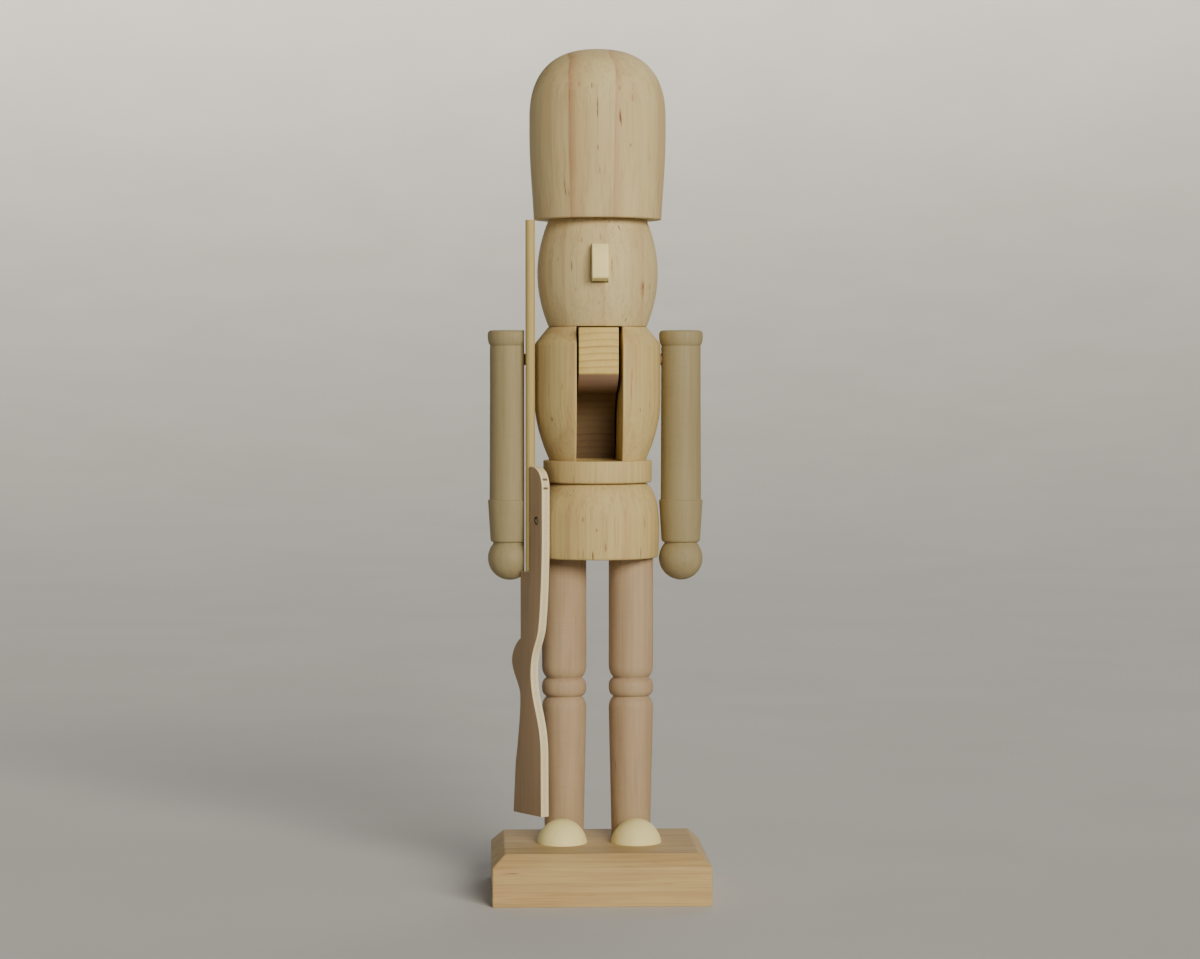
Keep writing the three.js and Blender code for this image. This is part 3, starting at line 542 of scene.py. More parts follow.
def make_lever():
    """Sawn lever: chin, underside, throat, handle and a heel that is an arc about the pivot.
    It is bored for the pin."""
    low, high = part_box("jaw_lever")
    pivot = PIVOT_Y - BODY_Y
    heel = high.z + LEVER_CROWN_LIFT - PIVOT_Z
    front, end = low.y - BODY_Y, low.z
    back = high.y - BODY_Y
    chin = bow((front, 153.8 * MM), (-13 * MM, 149.6 * MM), (-5.9 * MM, 148.4 * MM))
    throat = bow(chin[-1], (4.6 * MM, 146.6 * MM), (5.9 * MM, 140 * MM))
    handle = bow(throat[-1], (8.4 * MM, 124 * MM), (12.8 * MM, 104 * MM))
    rear = bow((back, end + 3 * MM), (20.2 * MM, 126 * MM), (pivot + heel, PIVOT_Z))
    arc = np.linspace(0, math.pi / 2, 2 * CURVE_STEPS)
    crown = np.stack([pivot + heel * np.cos(arc), PIVOT_Z + heel * np.sin(arc)], axis=-1)
    corners = np.vstack([chin, throat[1:], handle[1:], [(13.6 * MM, end)], [(back, end)], rear, crown[1:],
                         [(front, high.z + LEVER_TOP_LIFT)]])
    sizes = np.zeros(len(corners))
    tip = len(chin) + len(throat) + len(handle) - 2
    sizes[0] = 0.3 * MM
    sizes[tip:tip + 2] = 2.4 * MM
    sizes[-1] = 0.4 * MM
    piece = sawn("jaw_lever", softened(corners, sizes, closes=True), LEVER_WIDTH, 0.3 * MM, across_lever)
    bore = rod(PIVOT_BORE_RADIUS, (-LEVER_WIDTH, PIVOT_Y, PIVOT_Z), (LEVER_WIDTH, PIVOT_Y, PIVOT_Z))
    return combine(piece, [bore], "DIFFERENCE")


def arm_profile():
    """Ball hand, wrist groove, flared cuff, sleeve and shoulder bead."""
    lowest, highest = -math.pi / 2, math.acos(WRIST_RADIUS / ARM_BEAD_RADIUS)
    angle = np.linspace(lowest, highest, 2 * CURVE_STEPS)
    ball = np.stack([ARM_BEAD_RADIUS * np.cos(angle), HAND_Z + ARM_BEAD_RADIUS * np.sin(angle)], axis=-1)
    ball[0, 0] = 0
    groove, groove_depth = ARM_TOP - 4.6 * MM, 0.1 * MM
    flare_pull, flare = groove + 0.7 * MM, groove + 2.6 * MM
    neck = bow((ARM_WAIST_RADIUS - groove_depth, groove), (ARM_BEAD_RADIUS - groove_depth, flare_pull),
               (ARM_BEAD_RADIUS, flare))
    corners = np.vstack([
        ball,
        [(WRIST_RADIUS, WRIST_Z), (CUFF_END_RADIUS, WRIST_Z + 0.3 * MM), (ARM_BEAD_RADIUS, CUFF_Z),
         (ARM_RADIUS, CUFF_Z), (ARM_WAIST_RADIUS, ARM_TOP - 20 * MM),
         (ARM_WAIST_RADIUS, groove - 0.5 * MM)],
        neck,
        [(ARM_BEAD_RADIUS, ARM_TOP), (0, ARM_TOP)],
    ])
    sizes = np.zeros(len(corners))
    cuff = len(ball)
    sizes[cuff + 1] = 0.6 * MM
    sizes[cuff + 2:cuff + 4] = 0.2 * MM
    sizes[-2] = 1.3 * MM
    return softened(corners, sizes)


def make_arm(side):
    """Turned arm, bored for its peg. The one beside the rifle is planed flat on its inner side."""
    x, y = (ARM_LEFT_X, ARM_LEFT_Y) if side < 0 else (ARM_RIGHT_X, BODY_Y)
    piece = turned("arm_left" if side < 0 else "arm_right", arm_profile(), (x, y))
    bore_end, bore_mouth = x + side * PEG_IN_ARM, x - side * 2 * ARM_RADIUS
    cutters = [rod(PEG_BORE_RADIUS, (bore_end, y, PEG_Z), (bore_mouth, y, PEG_Z))]
    if side < 0:
        reach = 2 * ARM_BEAD_RADIUS
        cutters.append(block((ARM_FLAT_X, y - reach, 0), (ARM_FLAT_X + reach, y + reach, TOP_Z)))
    return combine(piece, cutters, "DIFFERENCE")


def make_stock():
    """Sawn plywood: fore-end with a step for the barrel, wrist, and butt, with the hole for the brad."""
    points = np.array([(5, 95), (0, 95), (0, 75)]) * MM
    hammer = bow_twice((0, 75), (-1.5, 74.5), (-4.4, 71.5), (-4.6, 68.4)) * MM
    wrist = bow_twice((-4.6, 68.4), (-4.7, 64.5), (-0.4, 61.5), (-0.2, 58)) * MM
    comb = bow((-0.2, 58), (0.1, 52), (-2.7, 37.7)) * MM
    butt = np.array([(-3.8 * MM, STOCK_END), (10.8 * MM, STOCK_END)])
    belly = bow_twice((10.7, 41), (10.6, 52), (5.4, 56), (5.4, 65)) * MM
    guard = bow_twice((5.4, 65), (5.4, 72), (8.6, 74), (9.5, 78.5)) * MM
    fore_end = bow_twice((9.5, 78.5), (10.3, 83), (11.2, 92), (11.4, 104)) * MM
    nose = bow((11.4 * MM, STOCK_TOP - 6 * MM), (11 * MM, STOCK_TOP - 0.6 * MM), (6.2 * MM, STOCK_TOP))
    outline = np.vstack([points, hammer[1:], wrist[1:], comb[1:], butt, belly, guard[1:], fore_end[1:],
                         nose, [(5 * MM, STOCK_TOP)]])
    piece = sawn("rifle_stock", outline, STOCK_THICKNESS, 0.12 * MM, beside_skirt)
    centre = STOCK_ORIGIN + BRAD_U * STOCK_FORWARD + np.array([0, 0, BRAD_Z])
    reach = STOCK_THICKNESS * STOCK_OUTWARD
    return combine(piece, [rod(BRAD_HOLE_RADIUS, centre - reach, centre + reach)], "DIFFERENCE")


def make_brad():
    """Headed pin, turned about the line through its hole: point, shank and head."""
    centre = STOCK_ORIGIN + BRAD_U * STOCK_FORWARD + np.array([0, 0, BRAD_Z])
    head_top = STOCK_THICKNESS / 2 - 0.2 * MM
    corners = np.array([(0, -8.6), (0.6, -7.4), (0.6, -0.7), (0.95, -0.7), (0.95, 0), (0, 0)]) * MM
    profile = softened(corners, np.array([0, 0.1, 0.05, 0.1, 0.2, 0]) * MM)
    local = revolved(profile, (0, 0), AROUND_DOWEL)
    up = np.array([0, 0, 1])
    rows = centre + local[..., :1] * STOCK_FORWARD + local[..., 1:2] * up
    rows = rows + (local[..., 2:] + head_top) * STOCK_OUTWARD
    return skin("rifle_brad", rows)


def make_dowel(node, longer=0.0):
    """Round bar in the place of a dowel of the frame, along its longest side, with its ends eased."""
    low, high = (np.array(corner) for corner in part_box(node))
    size = high - low
    long = int(np.argmax(size))
    start = (low + high) / 2
    end = start.copy()
    start[long], end[long] = low[long] - longer, high[long] + longer
    return rod(np.min(size) / 2, start, end, node, 0.2 * MM)


# Finishes

def srgb(red, green, blue):
    """Colour given as seen on a screen, 0 to 255, as the linear colour that the shader takes."""
    share = np.array([red, green, blue]) / 255
    linear = np.where(share > 0.04045, ((share + 0.055) / 1.055) ** 2.4, share / 12.92)
    return (*linear.tolist(), 1.0)


class Nodes:
    """Short words for placing and joining shader nodes in one tree."""

    def __init__(self, tree):
        self.tree = tree

    def put(self, kind, links=(), **settings):
        node = self.tree.nodes.new(kind)
        for key, value in settings.items():
            setattr(node, key, value)
        for socket, value in dict(links).items():
            self.feed(node.inputs[socket], value)
        return node

    def feed(self, socket, value):
        if isinstance(value, bpy.types.NodeSocket):
            self.tree.links.new(value, socket)
        else:
            socket.default_value = value

    def math(self, operation, first, second=0.0, third=0.0):
        return self.put("ShaderNodeMath", {0: first, 1: second, 2: third}, operation=operation).outputs[0]

    def ramp(self, value, low, high, to_low=0.0, to_high=1.0):
        links = {"Value": value, "From Min": low, "From Max": high, "To Min": to_low, "To Max": to_high}
        return self.put("ShaderNodeMapRange", links, interpolation_type="SMOOTHSTEP").outputs[0]

    def mix(self, share, first, second):
        links = {0: share, 6: first, 7: second}
        return self.put("ShaderNodeMix", links, data_type="RGBA").outputs[2]

    def stretched(self, vector, scale):
        return self.put("ShaderNodeVectorMath", {0: vector, 1: scale}, operation="MULTIPLY").outputs[0]

    def apart(self, vector, centre):
        return self.put("ShaderNodeVectorMath", {0: vector, 1: centre}, operation="SUBTRACT").outputs[0]

    def length(self, vector):
        return self.put("ShaderNodeVectorMath", {0: vector}, operation="LENGTH").outputs["Value"]

    def place(self):
        return self.put("ShaderNodeTexCoord").outputs["Object"]

    def noise(self, vector, scale, detail=2.0, roughness=0.5):
        links = {"Vector": vector, "Scale": scale, "Detail": detail, "Roughness": roughness}
        return self.put("ShaderNodeTexNoise", links).outputs[0]


# Noise scales of the grain, per metre
DRIFT_SCALE = 55.0
FINE_FIBRES = 2600.0
BROAD_FIBRES = 620.0
SPECKS = 1250.0
SPECK_PATCHES = 130.0
BLOTCHES = 75.0
TOOL_SHAKE = 900.0
TOOL_WAVES = 9500.0


def wood_group():
    """Solid wood whose grain runs along Z and whose growth rings lie round the Z axis.
    Ring: the part after the point of distance / ring width, with the distance wandering a little.
    Late wood: rises slowly through each ring and drops at its end, by a share of its own for each ring.
    Fibres, dashes and blotches are noise drawn out along the grain. Tool marks are waves along it."""
    group = bpy.data.node_groups.new("wood", "ShaderNodeTree")
    values = ("Ring Width", "Ring Share", "Wander", "Fibre Share", "Dash Share", "Blotch Share",
              "Tool Share")
    sockets = [("Vector", "NodeSocketVector")]
    sockets += [(name, "NodeSocketColor") for name in ("Early", "Late", "Dash")]
    sockets += [(name, "NodeSocketFloat") for name in values]
    for name, kind in sockets:
        group.interface.new_socket(name, in_out="INPUT", socket_type=kind)
    results = {"Color": "NodeSocketColor", "Roughness": "NodeSocketFloat", "Height": "NodeSocketFloat"}
    for name, kind in results.items():
        group.interface.new_socket(name, in_out="OUTPUT", socket_type=kind)
    net = Nodes(group)
    given = net.put("NodeGroupInput").outputs
    vector = given["Vector"]

    drift = net.noise(net.stretched(vector, (1, 1, 0.12)), DRIFT_SCALE)
    wander = net.math("MULTIPLY", net.math("SUBTRACT", drift, 0.5), given["Wander"])
    flat = net.stretched(vector, (1, 1, 0))
    distance = net.length(flat)
    turns = net.math("DIVIDE", net.math("ADD", distance, wander), given["Ring Width"])
    ring = net.math("FRACT", turns)
    rise = net.math("POWER", ring, 4.5)
    fall = net.ramp(ring, 0.95, 1.0, 1.0, 0.0)
    number = net.math("FLOOR", turns)
    own = net.put("ShaderNodeTexWhiteNoise", {"W": number}, noise_dimensions="1D").outputs["Value"]
    late = net.math("MULTIPLY", net.math("MULTIPLY", rise, fall), net.math("MULTIPLY_ADD", own, 0.7, 0.3))

    fine = net.noise(net.stretched(vector, (1, 1, 0.02)), FINE_FIBRES, 3.0, 0.6)
    broad = net.noise(net.stretched(vector, (1, 1, 0.03)), BROAD_FIBRES, 3.0, 0.6)
    fibre = net.math("ADD", net.math("MULTIPLY", fine, 0.5), net.math("MULTIPLY", broad, 0.5))
    fibre_share = net.math("MULTIPLY", net.ramp(fibre, 0.42, 0.68), given["Fibre Share"])
    speck = net.noise(net.stretched(vector, (1, 1, 0.075)), SPECKS, 1.0, 0.4)
    where = net.noise(net.stretched(vector, (1, 1, 0.4)), SPECK_PATCHES, 1.0)
    dash = net.math("MULTIPLY", net.ramp(speck, 0.71, 0.79), net.ramp(where, 0.45, 0.6))
    dash_share = net.math("MULTIPLY", dash, given["Dash Share"])
    blotch = net.ramp(net.noise(net.stretched(vector, (1, 1, 0.22)), BLOTCHES, 3.0, 0.55), 0.35, 0.7)

    ringed = net.mix(net.math("MULTIPLY", late, given["Ring Share"]), given["Early"], given["Late"])
    # blotches of late-wood colour mixed in
    blotched_and_shaded = net.mix(net.math("MULTIPLY", blotch, given["Blotch Share"]), ringed, given["Late"])
    drawn = net.mix(net.math("MULTIPLY", fibre_share, 0.5), blotched_and_shaded, given["Dash"])
    colour = net.mix(dash_share, drawn, given["Dash"])

    along = net.put("ShaderNodeSeparateXYZ", {0: vector}).outputs[2]
    shake = net.noise(net.stretched(vector, (0.15, 0.15, 1)), TOOL_SHAKE, 2.0)
    turned_by = net.math("MULTIPLY", along, TOOL_WAVES)
    wave = net.math("SINE", net.math("ADD", turned_by, net.math("MULTIPLY", shake, 7.0)))
    tool = net.math("MULTIPLY", net.math("MULTIPLY", wave, given["Tool Share"]), net.ramp(shake, 0.4, 0.65))
    ridges = net.math("SUBTRACT", net.math("MULTIPLY", fibre, 0.8), net.math("MULTIPLY", dash, 0.9))
    height = net.math("ADD", net.math("ADD", ridges, tool), net.math("MULTIPLY", late, 0.25))
    rough = net.math("ADD", net.math("MULTIPLY", fibre, 0.22), 0.5)
    net.put("NodeGroupOutput", {"Color": colour, "Roughness": rough, "Height": height})
    return group


WOOD = wood_group()

# Each kind of wood: colours of early wood, late wood and dashes, width and wander of the rings, shares
WOODS = {
    "pale": dict(early=(206, 187, 136), late=(170, 124, 88), dash=(120, 80, 48),
                 ring=14.3 * MM, rings=0.95, wander=9 * MM, fibres=0.55, dashes=1.0, blotch=0.2, tool=0.12),
    "face": dict(early=(206, 187, 137), late=(170, 126, 90), dash=(120, 80, 48),
                 ring=11.2 * MM, rings=0.5, wander=5 * MM, fibres=0.55, dashes=1.0, blotch=0.18, tool=0.12),
    "pine": dict(early=(202, 179, 121), late=(164, 117, 74), dash=(118, 76, 42),
                 ring=14.3 * MM, rings=0.32, wander=9 * MM, fibres=0.6, dashes=0.9, blotch=0.14, tool=0.12),
    # Arms: colour partly birch tone and partly painted shade
    "shaded_birch": dict(early=(154, 140, 103), late=(138, 120, 83), dash=(112, 86, 54),
                  ring=9 * MM, rings=0.3, wander=6 * MM, fibres=0.45, dashes=0.15, blotch=0.25, tool=0.45),
    "beech": dict(early=(177, 152, 120), late=(158, 128, 96), dash=(112, 82, 56),
                  ring=5 * MM, rings=0.25, wander=6 * MM, fibres=0.45, dashes=0.6, blotch=0.55, tool=0.5),
    "toe": dict(early=(246, 231, 164), late=(232, 210, 142), dash=(160, 128, 80),
                ring=8 * MM, rings=0.3, wander=4 * MM, fibres=0.15, dashes=0.06, blotch=0.2, tool=0.35),
    "plank": dict(early=(200, 172, 118), late=(180, 142, 92), dash=(134, 88, 52),
                  ring=6 * MM, rings=0.8, wander=12 * MM, fibres=0.8, dashes=0.9, blotch=0.4, tool=0.0),
    "lever": dict(early=(214, 186, 110), late=(128, 72, 26), dash=(142, 98, 50),
                  ring=2 * MM, rings=1.0, wander=1.6 * MM, fibres=0.35, dashes=0.1, blotch=0.2, tool=0.0),
    # Dowels and barrel: colours darkened a little as painted shade on the barrel
    "dowel": dict(early=(186, 164, 104), late=(166, 138, 80), dash=(142, 110, 64),
                  ring=3 * MM, rings=0.3, wander=2 * MM, fibres=0.4, dashes=0.1, blotch=0.15, tool=0.0),
    # Shoulder pegs: dark colours that paint the shade in the gap between arm and torso
    "blotched_and_shaded": dict(early=(126, 100, 66), late=(104, 80, 50), dash=(84, 62, 38),
                    ring=3 * MM, rings=0.3, wander=2 * MM, fibres=0.4, dashes=0.1, blotch=0.3, tool=0.0),
    # Stock faces: colours partly veneer tone and partly painted shade
    "shaded_veneer": dict(early=(160, 135, 104), late=(140, 113, 85), dash=(110, 82, 58),
                   ring=6 * MM, rings=0.3, wander=8 * MM, fibres=0.45, dashes=0.25, blotch=0.4, tool=0.0),
}

# Painted shade in the slot: colours and share, then the pairs of places between which it begins or ends
SLOT_SHADE_PALE = (158, 126, 112)
SLOT_SHADE_DARK = (74, 52, 46)
SLOT_SHADE_SHARE = 0.86
SLOT_SHADE_FRONT = (-9.9 * MM, -9 * MM)
SLOT_SHADE_DEPTH = (-8 * MM, 5 * MM)
SLOT_SHADE_BACK = (19 * MM, 25 * MM)
SLOT_SHADE_BOTTOM = (BELT_TOP - FACE_FALL, BELT_TOP + SLOT_EDGE)
SLOT_SHADE_TOP = (153.6 * MM, 154.1 * MM)

# Edge of the plywood: colours of the plies, and the heights of two gaps in the core
PLY_PALE = (226, 214, 176)
PLY_WORN = (208, 190, 148)
CORE_PALE = (220, 205, 166)
CORE_WORN = (194, 174, 134)
PLY_GAP = (90, 62, 44)
# Painted shade on the wall of the brad's hole
HOLE_SHADE = (78, 56, 38)
PLY_MARKS = (122.6 * MM, 120 * MM)

# Steel of the brad and paper of the floor
STEEL = (176, 160, 134)
STEEL_BLOOM = (120, 104, 84)
PAPER = (216, 214, 210)
PAPER_MOTTLE = (212, 210, 206)

# Streaks on the front: across and up in mm, half width, half length, share, colour
STREAK_DEPTH = 20 * MM
RESIN = (98, 60, 30)
RUST = (158, 96, 58)
HAT_STREAKS = [(-0.8, 231.3, 0.3, 4.2, 0.95, RESIN), (-2.4, 237.6, 0.35, 1.4, 0.7, RESIN),
               (9.5, 234.2, 0.4, 1.6, 0.8, RUST), (5.7, 237.0, 0.45, 1.1, 0.7, RUST),
               (-0.7, 219.6, 0.35, 1.2, 0.7, RESIN), (-0.1, 213.0, 0.35, 1.3, 0.6, RESIN),
               (9.0, 220.4, 0.35, 0.9, 0.7, RESIN), (-6.2, 238.0, 0.5, 1.0, 0.5, RUST)]
HEAD_STREAKS = [(-8.2, 185.3, 0.3, 2.1, 0.95, RESIN), (3.5, 185.4, 0.4, 3.6, 0.75, RUST),
                (12.8, 178.6, 0.9, 4.2, 0.75, RUST), (13.0, 179.4, 0.4, 1.8, 0.7, RESIN),
                (0.2, 193.8, 0.4, 1.4, 0.7, RUST), (-5.2, 193.0, 0.35, 1.2, 0.55, RESIN),
                (-0.2, 174.6, 0.4, 0.9, 0.6, RUST), (-7.0, 178.6, 0.4, 1.0, 0.5, RUST)]
TRUNK_STREAKS = [(-5.0, 111.0, 0.3, 1.0, 0.8, RESIN), (1.7, 102.8, 0.3, 1.7, 0.85, RESIN),
                 (-1.0, 107.9, 0.3, 0.8, 0.7, RESIN), (12.0, 143.0, 0.3, 0.9, 0.7, RESIN),
                 (13.4, 110.0, 0.5, 3.0, 0.5, RUST), (-11.0, 150.0, 0.35, 1.4, 0.5, RUST)]


def wood_colour(net, kind, pith, grain):
    """The wood group for one kind of wood, centred on a pith, with the grain turned to its Z."""
    look = WOODS[kind]
    turn = Euler(grain)
    shift = -(turn.to_matrix() @ Vector(pith))
    place = net.place()
    mapped = net.put("ShaderNodeMapping", {"Vector": place, "Location": shift, "Rotation": turn}).outputs[0]
    links = {"Vector": mapped, "Early": srgb(*look["early"]), "Late": srgb(*look["late"]),
             "Dash": srgb(*look["dash"]), "Ring Width": look["ring"], "Ring Share": look["rings"],
             "Wander": look["wander"], "Fibre Share": look["fibres"], "Dash Share": look["dashes"],
             "Blotch Share": look["blotch"], "Tool Share": look["tool"]}
    node = net.tree.nodes.new("ShaderNodeGroup")
    node.node_tree = WOOD
    for socket, value in links.items():
        net.feed(node.inputs[socket], value)
    return node


def new_material(name):
    """Material with the short words for its nodes, and its shader."""
    material = bpy.data.materials.new(name)
    material.use_nodes = True
    net = Nodes(material.node_tree)
    return material, net, material.node_tree.nodes["Principled BSDF"]


def relief(net, shader, height, depth):
    """Bump on the shader from a height that varies over the surface."""
    bump = net.put("ShaderNodeBump", {"Height": height, "Strength": 0.6, "Distance": depth})
    net.feed(shader.inputs["Normal"], bump.outputs[0])


def streaked(net, colour, streaks):
    """Short streaks along the grain: each mask falls off with the distance from its centre,
    measured in half widths across and half lengths along, and is broken up by fine noise."""
    place = net.place()
    broken = net.ramp(net.noise(net.stretched(place, (1, 1, 0.3)), 2400.0, 2.0), 0.3, 0.6, 0.4, 0.9)
    for x, z, width, length, share, tint in streaks:
        centre = (x * MM, BODY_Y - STREAK_DEPTH, z * MM)
        size = (1 / (width * MM), 1 / STREAK_DEPTH, 1 / (length * MM))
        far = net.length(net.stretched(net.apart(place, centre), size))
        mask = net.math("MULTIPLY", net.ramp(far, 0.35, 1.0, share, 0.0), broken)
        colour = net.mix(mask, colour, srgb(*tint))
    return colour


def painted_slot_shade(net, colour):
    """Painted shade inside the slot: the mask rises over the front pair of places along Y
    and over the bottom pair of heights, and falls over the back pair and the top pair.
    The painted shade goes from a greyer tone at the front to dark brown in the depth."""
    parts = net.put("ShaderNodeSeparateXYZ", {0: net.place()}).outputs
    rise = net.ramp(parts[1], *SLOT_SHADE_FRONT)
    fall = net.ramp(parts[1], *SLOT_SHADE_BACK, SLOT_SHADE_SHARE, 0.0)
    over = net.ramp(parts[2], *SLOT_SHADE_BOTTOM)
    under = net.ramp(parts[2], *SLOT_SHADE_TOP, 1.0, 0.0)
    mask = net.math("MULTIPLY", net.math("MULTIPLY", rise, fall), net.math("MULTIPLY", over, under))
    # painted shade: greyer near the front of the slot, dark brown deeper in
    tone = net.mix(net.ramp(parts[1], *SLOT_SHADE_DEPTH), srgb(*SLOT_SHADE_PALE), srgb(*SLOT_SHADE_DARK))
    return net.mix(mask, colour, tone)


def wood(name, kind, pith, grain=(0, 0, 0), streaks=(), shaded_in_slot=False):
    """Material of one kind of wood with streaks of its own, and painted shade where the piece lies in the
    slot.
    """
    material, net, shader = new_material(name)
    figure = wood_colour(net, kind, pith, grain)
    colour = figure.outputs["Color"]
    if streaks:
        colour = streaked(net, colour, streaks)
    if shaded_in_slot:
        # painted shade where the piece lies in the slot
        colour = painted_slot_shade(net, colour)
    net.feed(shader.inputs["Base Color"], colour)
    net.feed(shader.inputs["Roughness"], figure.outputs["Roughness"])
    shader.inputs["Specular IOR Level"].default_value = 0.3
    relief(net, shader, figure.outputs["Height"], 0.05 * MM)
    return material


def plywood(name):
    """Veneer on the broad faces, its darker colour partly real tone and partly painted shade, and on the
    sawn edges pale outer plies with a greyer core between them. The edge has two small gaps in the core,
    and painted shade darkens the wall of the brad's hole."""
    material, net, shader = new_material(name)
    figure = wood_colour(net, "shaded_veneer", (-60 * MM, -40 * MM, 0), (0, 0, 0))
    turn = math.pi - STOCK_ANGLE
    depth = -float(STOCK_ORIGIN @ STOCK_OUTWARD)
    links = {"Vector": net.place(), "Rotation": (0, 0, turn), "Location": (depth, 0, 0)}
    mapped = net.put("ShaderNodeMapping", links).outputs[0]
    parts = net.put("ShaderNodeSeparateXYZ", {0: mapped}).outputs
    off = net.math("ABSOLUTE", parts[0])
    core = net.ramp(off, 0.55 * MM, 0.75 * MM, 1.0, 0.0)
    grit = net.ramp(net.noise(mapped, 1900.0, 3.0, 0.65), 0.35, 0.7)
    pale = net.mix(net.math("MULTIPLY", grit, 0.35), srgb(*PLY_PALE), srgb(*PLY_WORN))
    inner = net.mix(net.math("MULTIPLY", grit, 0.6), srgb(*CORE_PALE), srgb(*CORE_WORN))
    edge = net.mix(core, pale, inner)
    gap = 0.0
    for level in PLY_MARKS:
        near = net.math("ABSOLUTE", net.math("SUBTRACT", parts[2], level))
        tall = net.ramp(near, 0.2 * MM, 0.5 * MM, 1.0, 0.0)
        wide = net.ramp(off, 0.7 * MM, 1.0 * MM, 1.0, 0.0)
        gap = net.math("MAXIMUM", gap, net.math("MULTIPLY", tall, wide))
    edge = net.mix(net.math("MULTIPLY", gap, 0.9), edge, srgb(*PLY_GAP))
    # painted shade: the wall of the brad's hole is darker
    hole = (0, float(STOCK_ORIGIN @ STOCK_FORWARD) + BRAD_U, BRAD_Z)
    from_hole = net.length(net.stretched(net.apart(mapped, hole), (0, 1, 1)))
    bored = net.ramp(from_hole, BRAD_HOLE_RADIUS + 0.05 * MM, BRAD_HOLE_RADIUS + 0.4 * MM, 1.0, 0.0)
    edge = net.mix(bored, edge, srgb(*HOLE_SHADE))
    face = net.ramp(off, STOCK_THICKNESS / 2 - 0.12 * MM, STOCK_THICKNESS / 2 - 0.04 * MM)
    net.feed(shader.inputs["Base Color"], net.mix(face, edge, figure.outputs["Color"]))
    net.feed(shader.inputs["Roughness"], figure.outputs["Roughness"])
    shader.inputs["Specular IOR Level"].default_value = 0.25
    relief(net, shader, figure.outputs["Height"], 0.04 * MM)
    return material


def dull_steel(name):
    """Steel with a darker, rougher bloom."""
    material, net, shader = new_material(name)
    bloom = net.ramp(net.noise(net.place(), 1500.0, 3.0), 0.3, 0.7)
    net.feed(shader.inputs["Base Color"], net.mix(bloom, srgb(*STEEL), srgb(*STEEL_BLOOM)))
    net.feed(shader.inputs["Roughness"], net.math("MULTIPLY_ADD", bloom, 0.3, 0.35))
    shader.inputs["Metallic"].default_value = 0.9
    return material


def floor_paper(name):
    """Pale matt paper with a faint mottle."""
    material, net, shader = new_material(name)
    mottle = net.ramp(net.noise(net.place(), 9.0, 3.0), 0.3, 0.7)
    net.feed(shader.inputs["Base Color"], net.mix(mottle, srgb(*PAPER), srgb(*PAPER_MOTTLE)))
    shader.inputs["Roughness"].default_value = 0.9
    return material


# Assembly

LYING_X = (0, -math.pi / 2, 0)
LYING_Y = (math.pi / 2, 0, 0)


def finish(piece, material, body="figure"):
    """Smooth shading, the finish, and the body for the piece; the node of the frame that it stands for is
    hidden.
    """
    piece.data.shade_smooth()
    piece.data.set_sharp_from_angle(angle=SHARP_ANGLE)
    piece.data.materials.clear()
    piece.data.materials.append(material)
    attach(piece, body)
    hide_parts(piece.name.removesuffix("_piece"))


finish(make_base(), wood("base_finish", "plank", (0, -60 * MM, -30 * MM), LYING_X))
finish(make_trunk(), wood("trunk_finish", "pine", (76 * MM, 44 * MM, 0), streaks=TRUNK_STREAKS))
finish(make_head(), wood("head_finish", "face", (-98.2 * MM, 8.5 * MM, 0), streaks=HEAD_STREAKS))
finish(make_nose(), wood("nose_finish", "toe", (20 * MM, 60 * MM, 0)))
finish(make_hat(), wood("hat_finish", "pale", (89.1 * MM, 0, 0), streaks=HAT_STREAKS))
# The lever gets painted shade where it lies in the slot.
lever_finish = wood("lever_finish", "lever", (0, 0, 60 * MM), LYING_Y, shaded_in_slot=True)
finish(make_lever(), lever_finish, "jaw")
finish(make_stock(), plywood("stock_finish"))
finish(make_brad(), dull_steel("brad_finish"))
for side, word in ((-1, "left"), (1, "right")):
    finish(make_leg(side), wood(f"leg_{word}_finish", "beech", (side * 45 * MM, 60 * MM, 0)))
    finish(make_toe(side), wood(f"toe_{word}_finish", "toe", (side * 40 * MM, 30 * MM, 0)))
    finish(make_arm(side), wood(f"arm_{word}_finish", "shaded_birch", (side * 60 * MM, 50 * MM, 0)))
    for joint in ("ankle_dowel", "hip_dowel", "neck_dowel", "shoulder_peg"):
        node = f"{joint}_{word}"
        # The shoulder pegs get dark wood as painted shade.
        kind = "blotched_and_shaded" if joint == "shoulder_peg" else "dowel"
        finish(make_dowel(node), wood(f"{node}_finish", kind, (side * 30 * MM, 0, 0)))
# The barrel's dowel colours carry a little painted shade.
for node, slot, longer in (("hat_dowel", "dowel_wood", 0), ("pivot_pin", "dowel_wood", PIVOT_PROUD),
                           ("rifle_barrel", "barrel_wood", 0)):
    finish(make_dowel(node, longer), wood(f"{node}_finish", "dowel", (-40 * MM, 25 * MM, 0)))


# Stage, light and camera

CAMERA_SENSOR = 36
CAMERA_LENS = 91.02
CAMERA_PLACE = (-36.4 * MM, -896.8 * MM, 153.8 * MM)
CAMERA_DIP = 2.0
CAMERA_TURN = -2.35


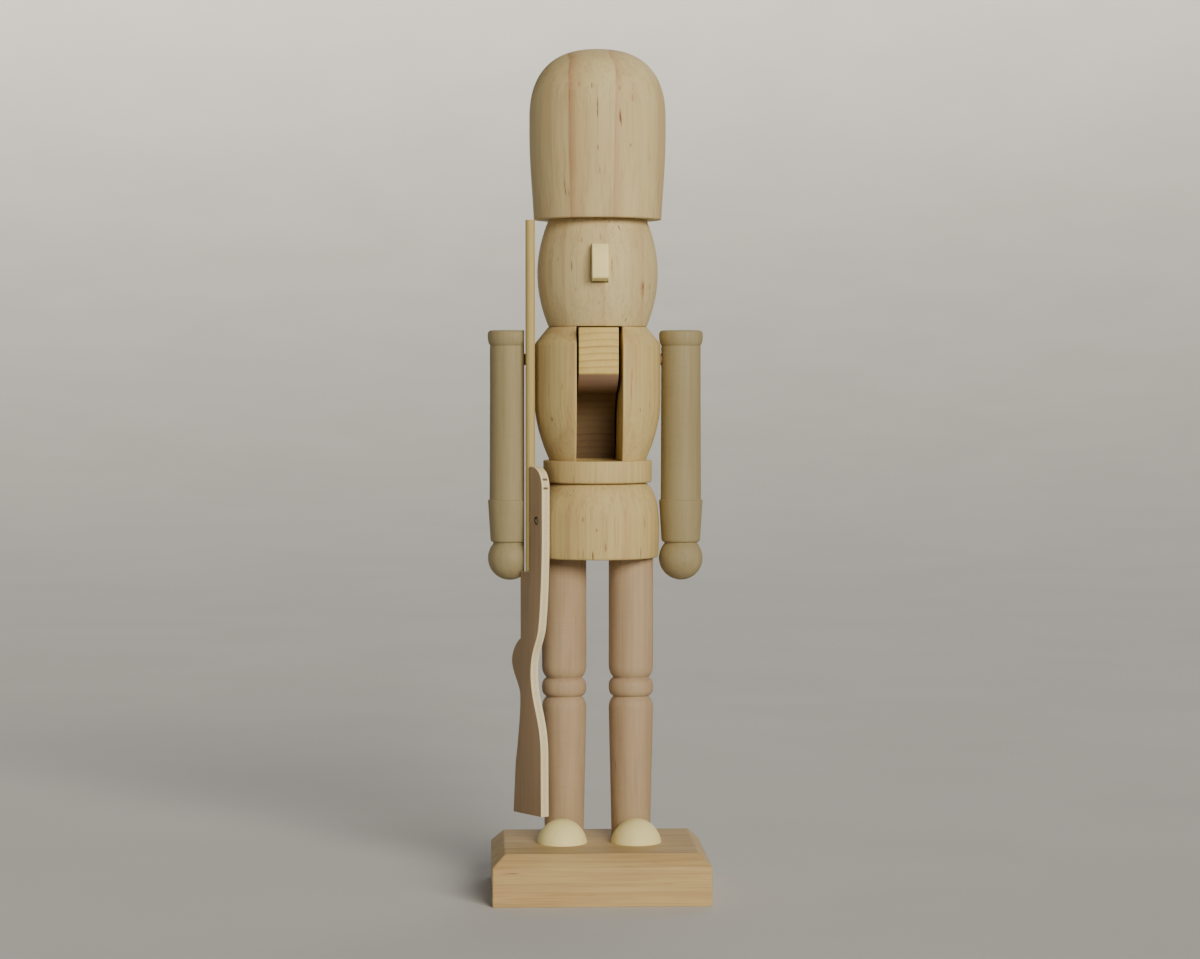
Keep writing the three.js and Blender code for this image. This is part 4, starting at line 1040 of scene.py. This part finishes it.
def make_floor():
    """Round sweep: flat out to the bend, then a quarter ellipse that rises all round, so no edge shows."""
    flat, reach, rise = 1.2, 2.4, 0.8
    innermost, steps = 0.05, 30
    level = np.linspace(innermost, flat, steps)
    arc = np.linspace(0, math.pi / 2, CURVE_STEPS)
    bend = np.stack([flat + reach * np.sin(arc), rise * (1 - np.cos(arc))], axis=-1)
    profile = np.vstack([[(0, 0)], np.stack([level, np.zeros(steps)], axis=-1), bend[1:]])
    rows = revolved(profile, (0, 0), AROUND_LIMB)
    upward = grid_faces(len(rows), AROUND_LIMB)[:, ::-1]
    floor = surface("floor", rows, upward.tolist())
    floor.data.shade_smooth()
    floor.data.materials.append(floor_paper("floor_paper"))


def far_light(name, place, spread, power, colour):
    """Distant soft light that shines from a place towards the middle of the figure."""
    light = bpy.data.lights.new(name, "SUN")
    light.angle = math.radians(spread)
    light.energy = power
    light.color = colour
    holder = bpy.data.objects.new(name, light)
    holder.location = place
    holder.rotation_euler = (Vector((0, 0, TOP_Z / 2)) - Vector(place)).to_track_quat("-Z", "Y").to_euler()
    bpy.context.scene.collection.objects.link(holder)


def make_camera():
    """Long lens a little to the left of the figure and level with its shoulders, tipped slightly down."""
    camera = bpy.data.cameras.new("camera")
    camera.sensor_width = CAMERA_SENSOR
    camera.lens = CAMERA_LENS
    holder = bpy.data.objects.new("camera", camera)
    holder.location = CAMERA_PLACE
    holder.rotation_euler = (math.radians(90 - CAMERA_DIP), 0, math.radians(CAMERA_TURN))
    bpy.context.scene.collection.objects.link(holder)
    bpy.context.scene.camera = holder


make_floor()
far_light("key", place=(0.38, -0.92, 0.39), spread=34, power=5.6, colour=(1.0, 0.955, 0.84))
far_light("back", place=(0.3, 1.0, 0.8), spread=40, power=0.5, colour=(1.0, 0.97, 0.92))
world = bpy.data.worlds.new("studio")
world.use_nodes = True
sky = world.node_tree.nodes["Background"]
sky.inputs["Color"].default_value = (0.93, 0.97, 1.0, 1)
sky.inputs["Strength"].default_value = 0.11
bpy.context.scene.world = world
make_camera()
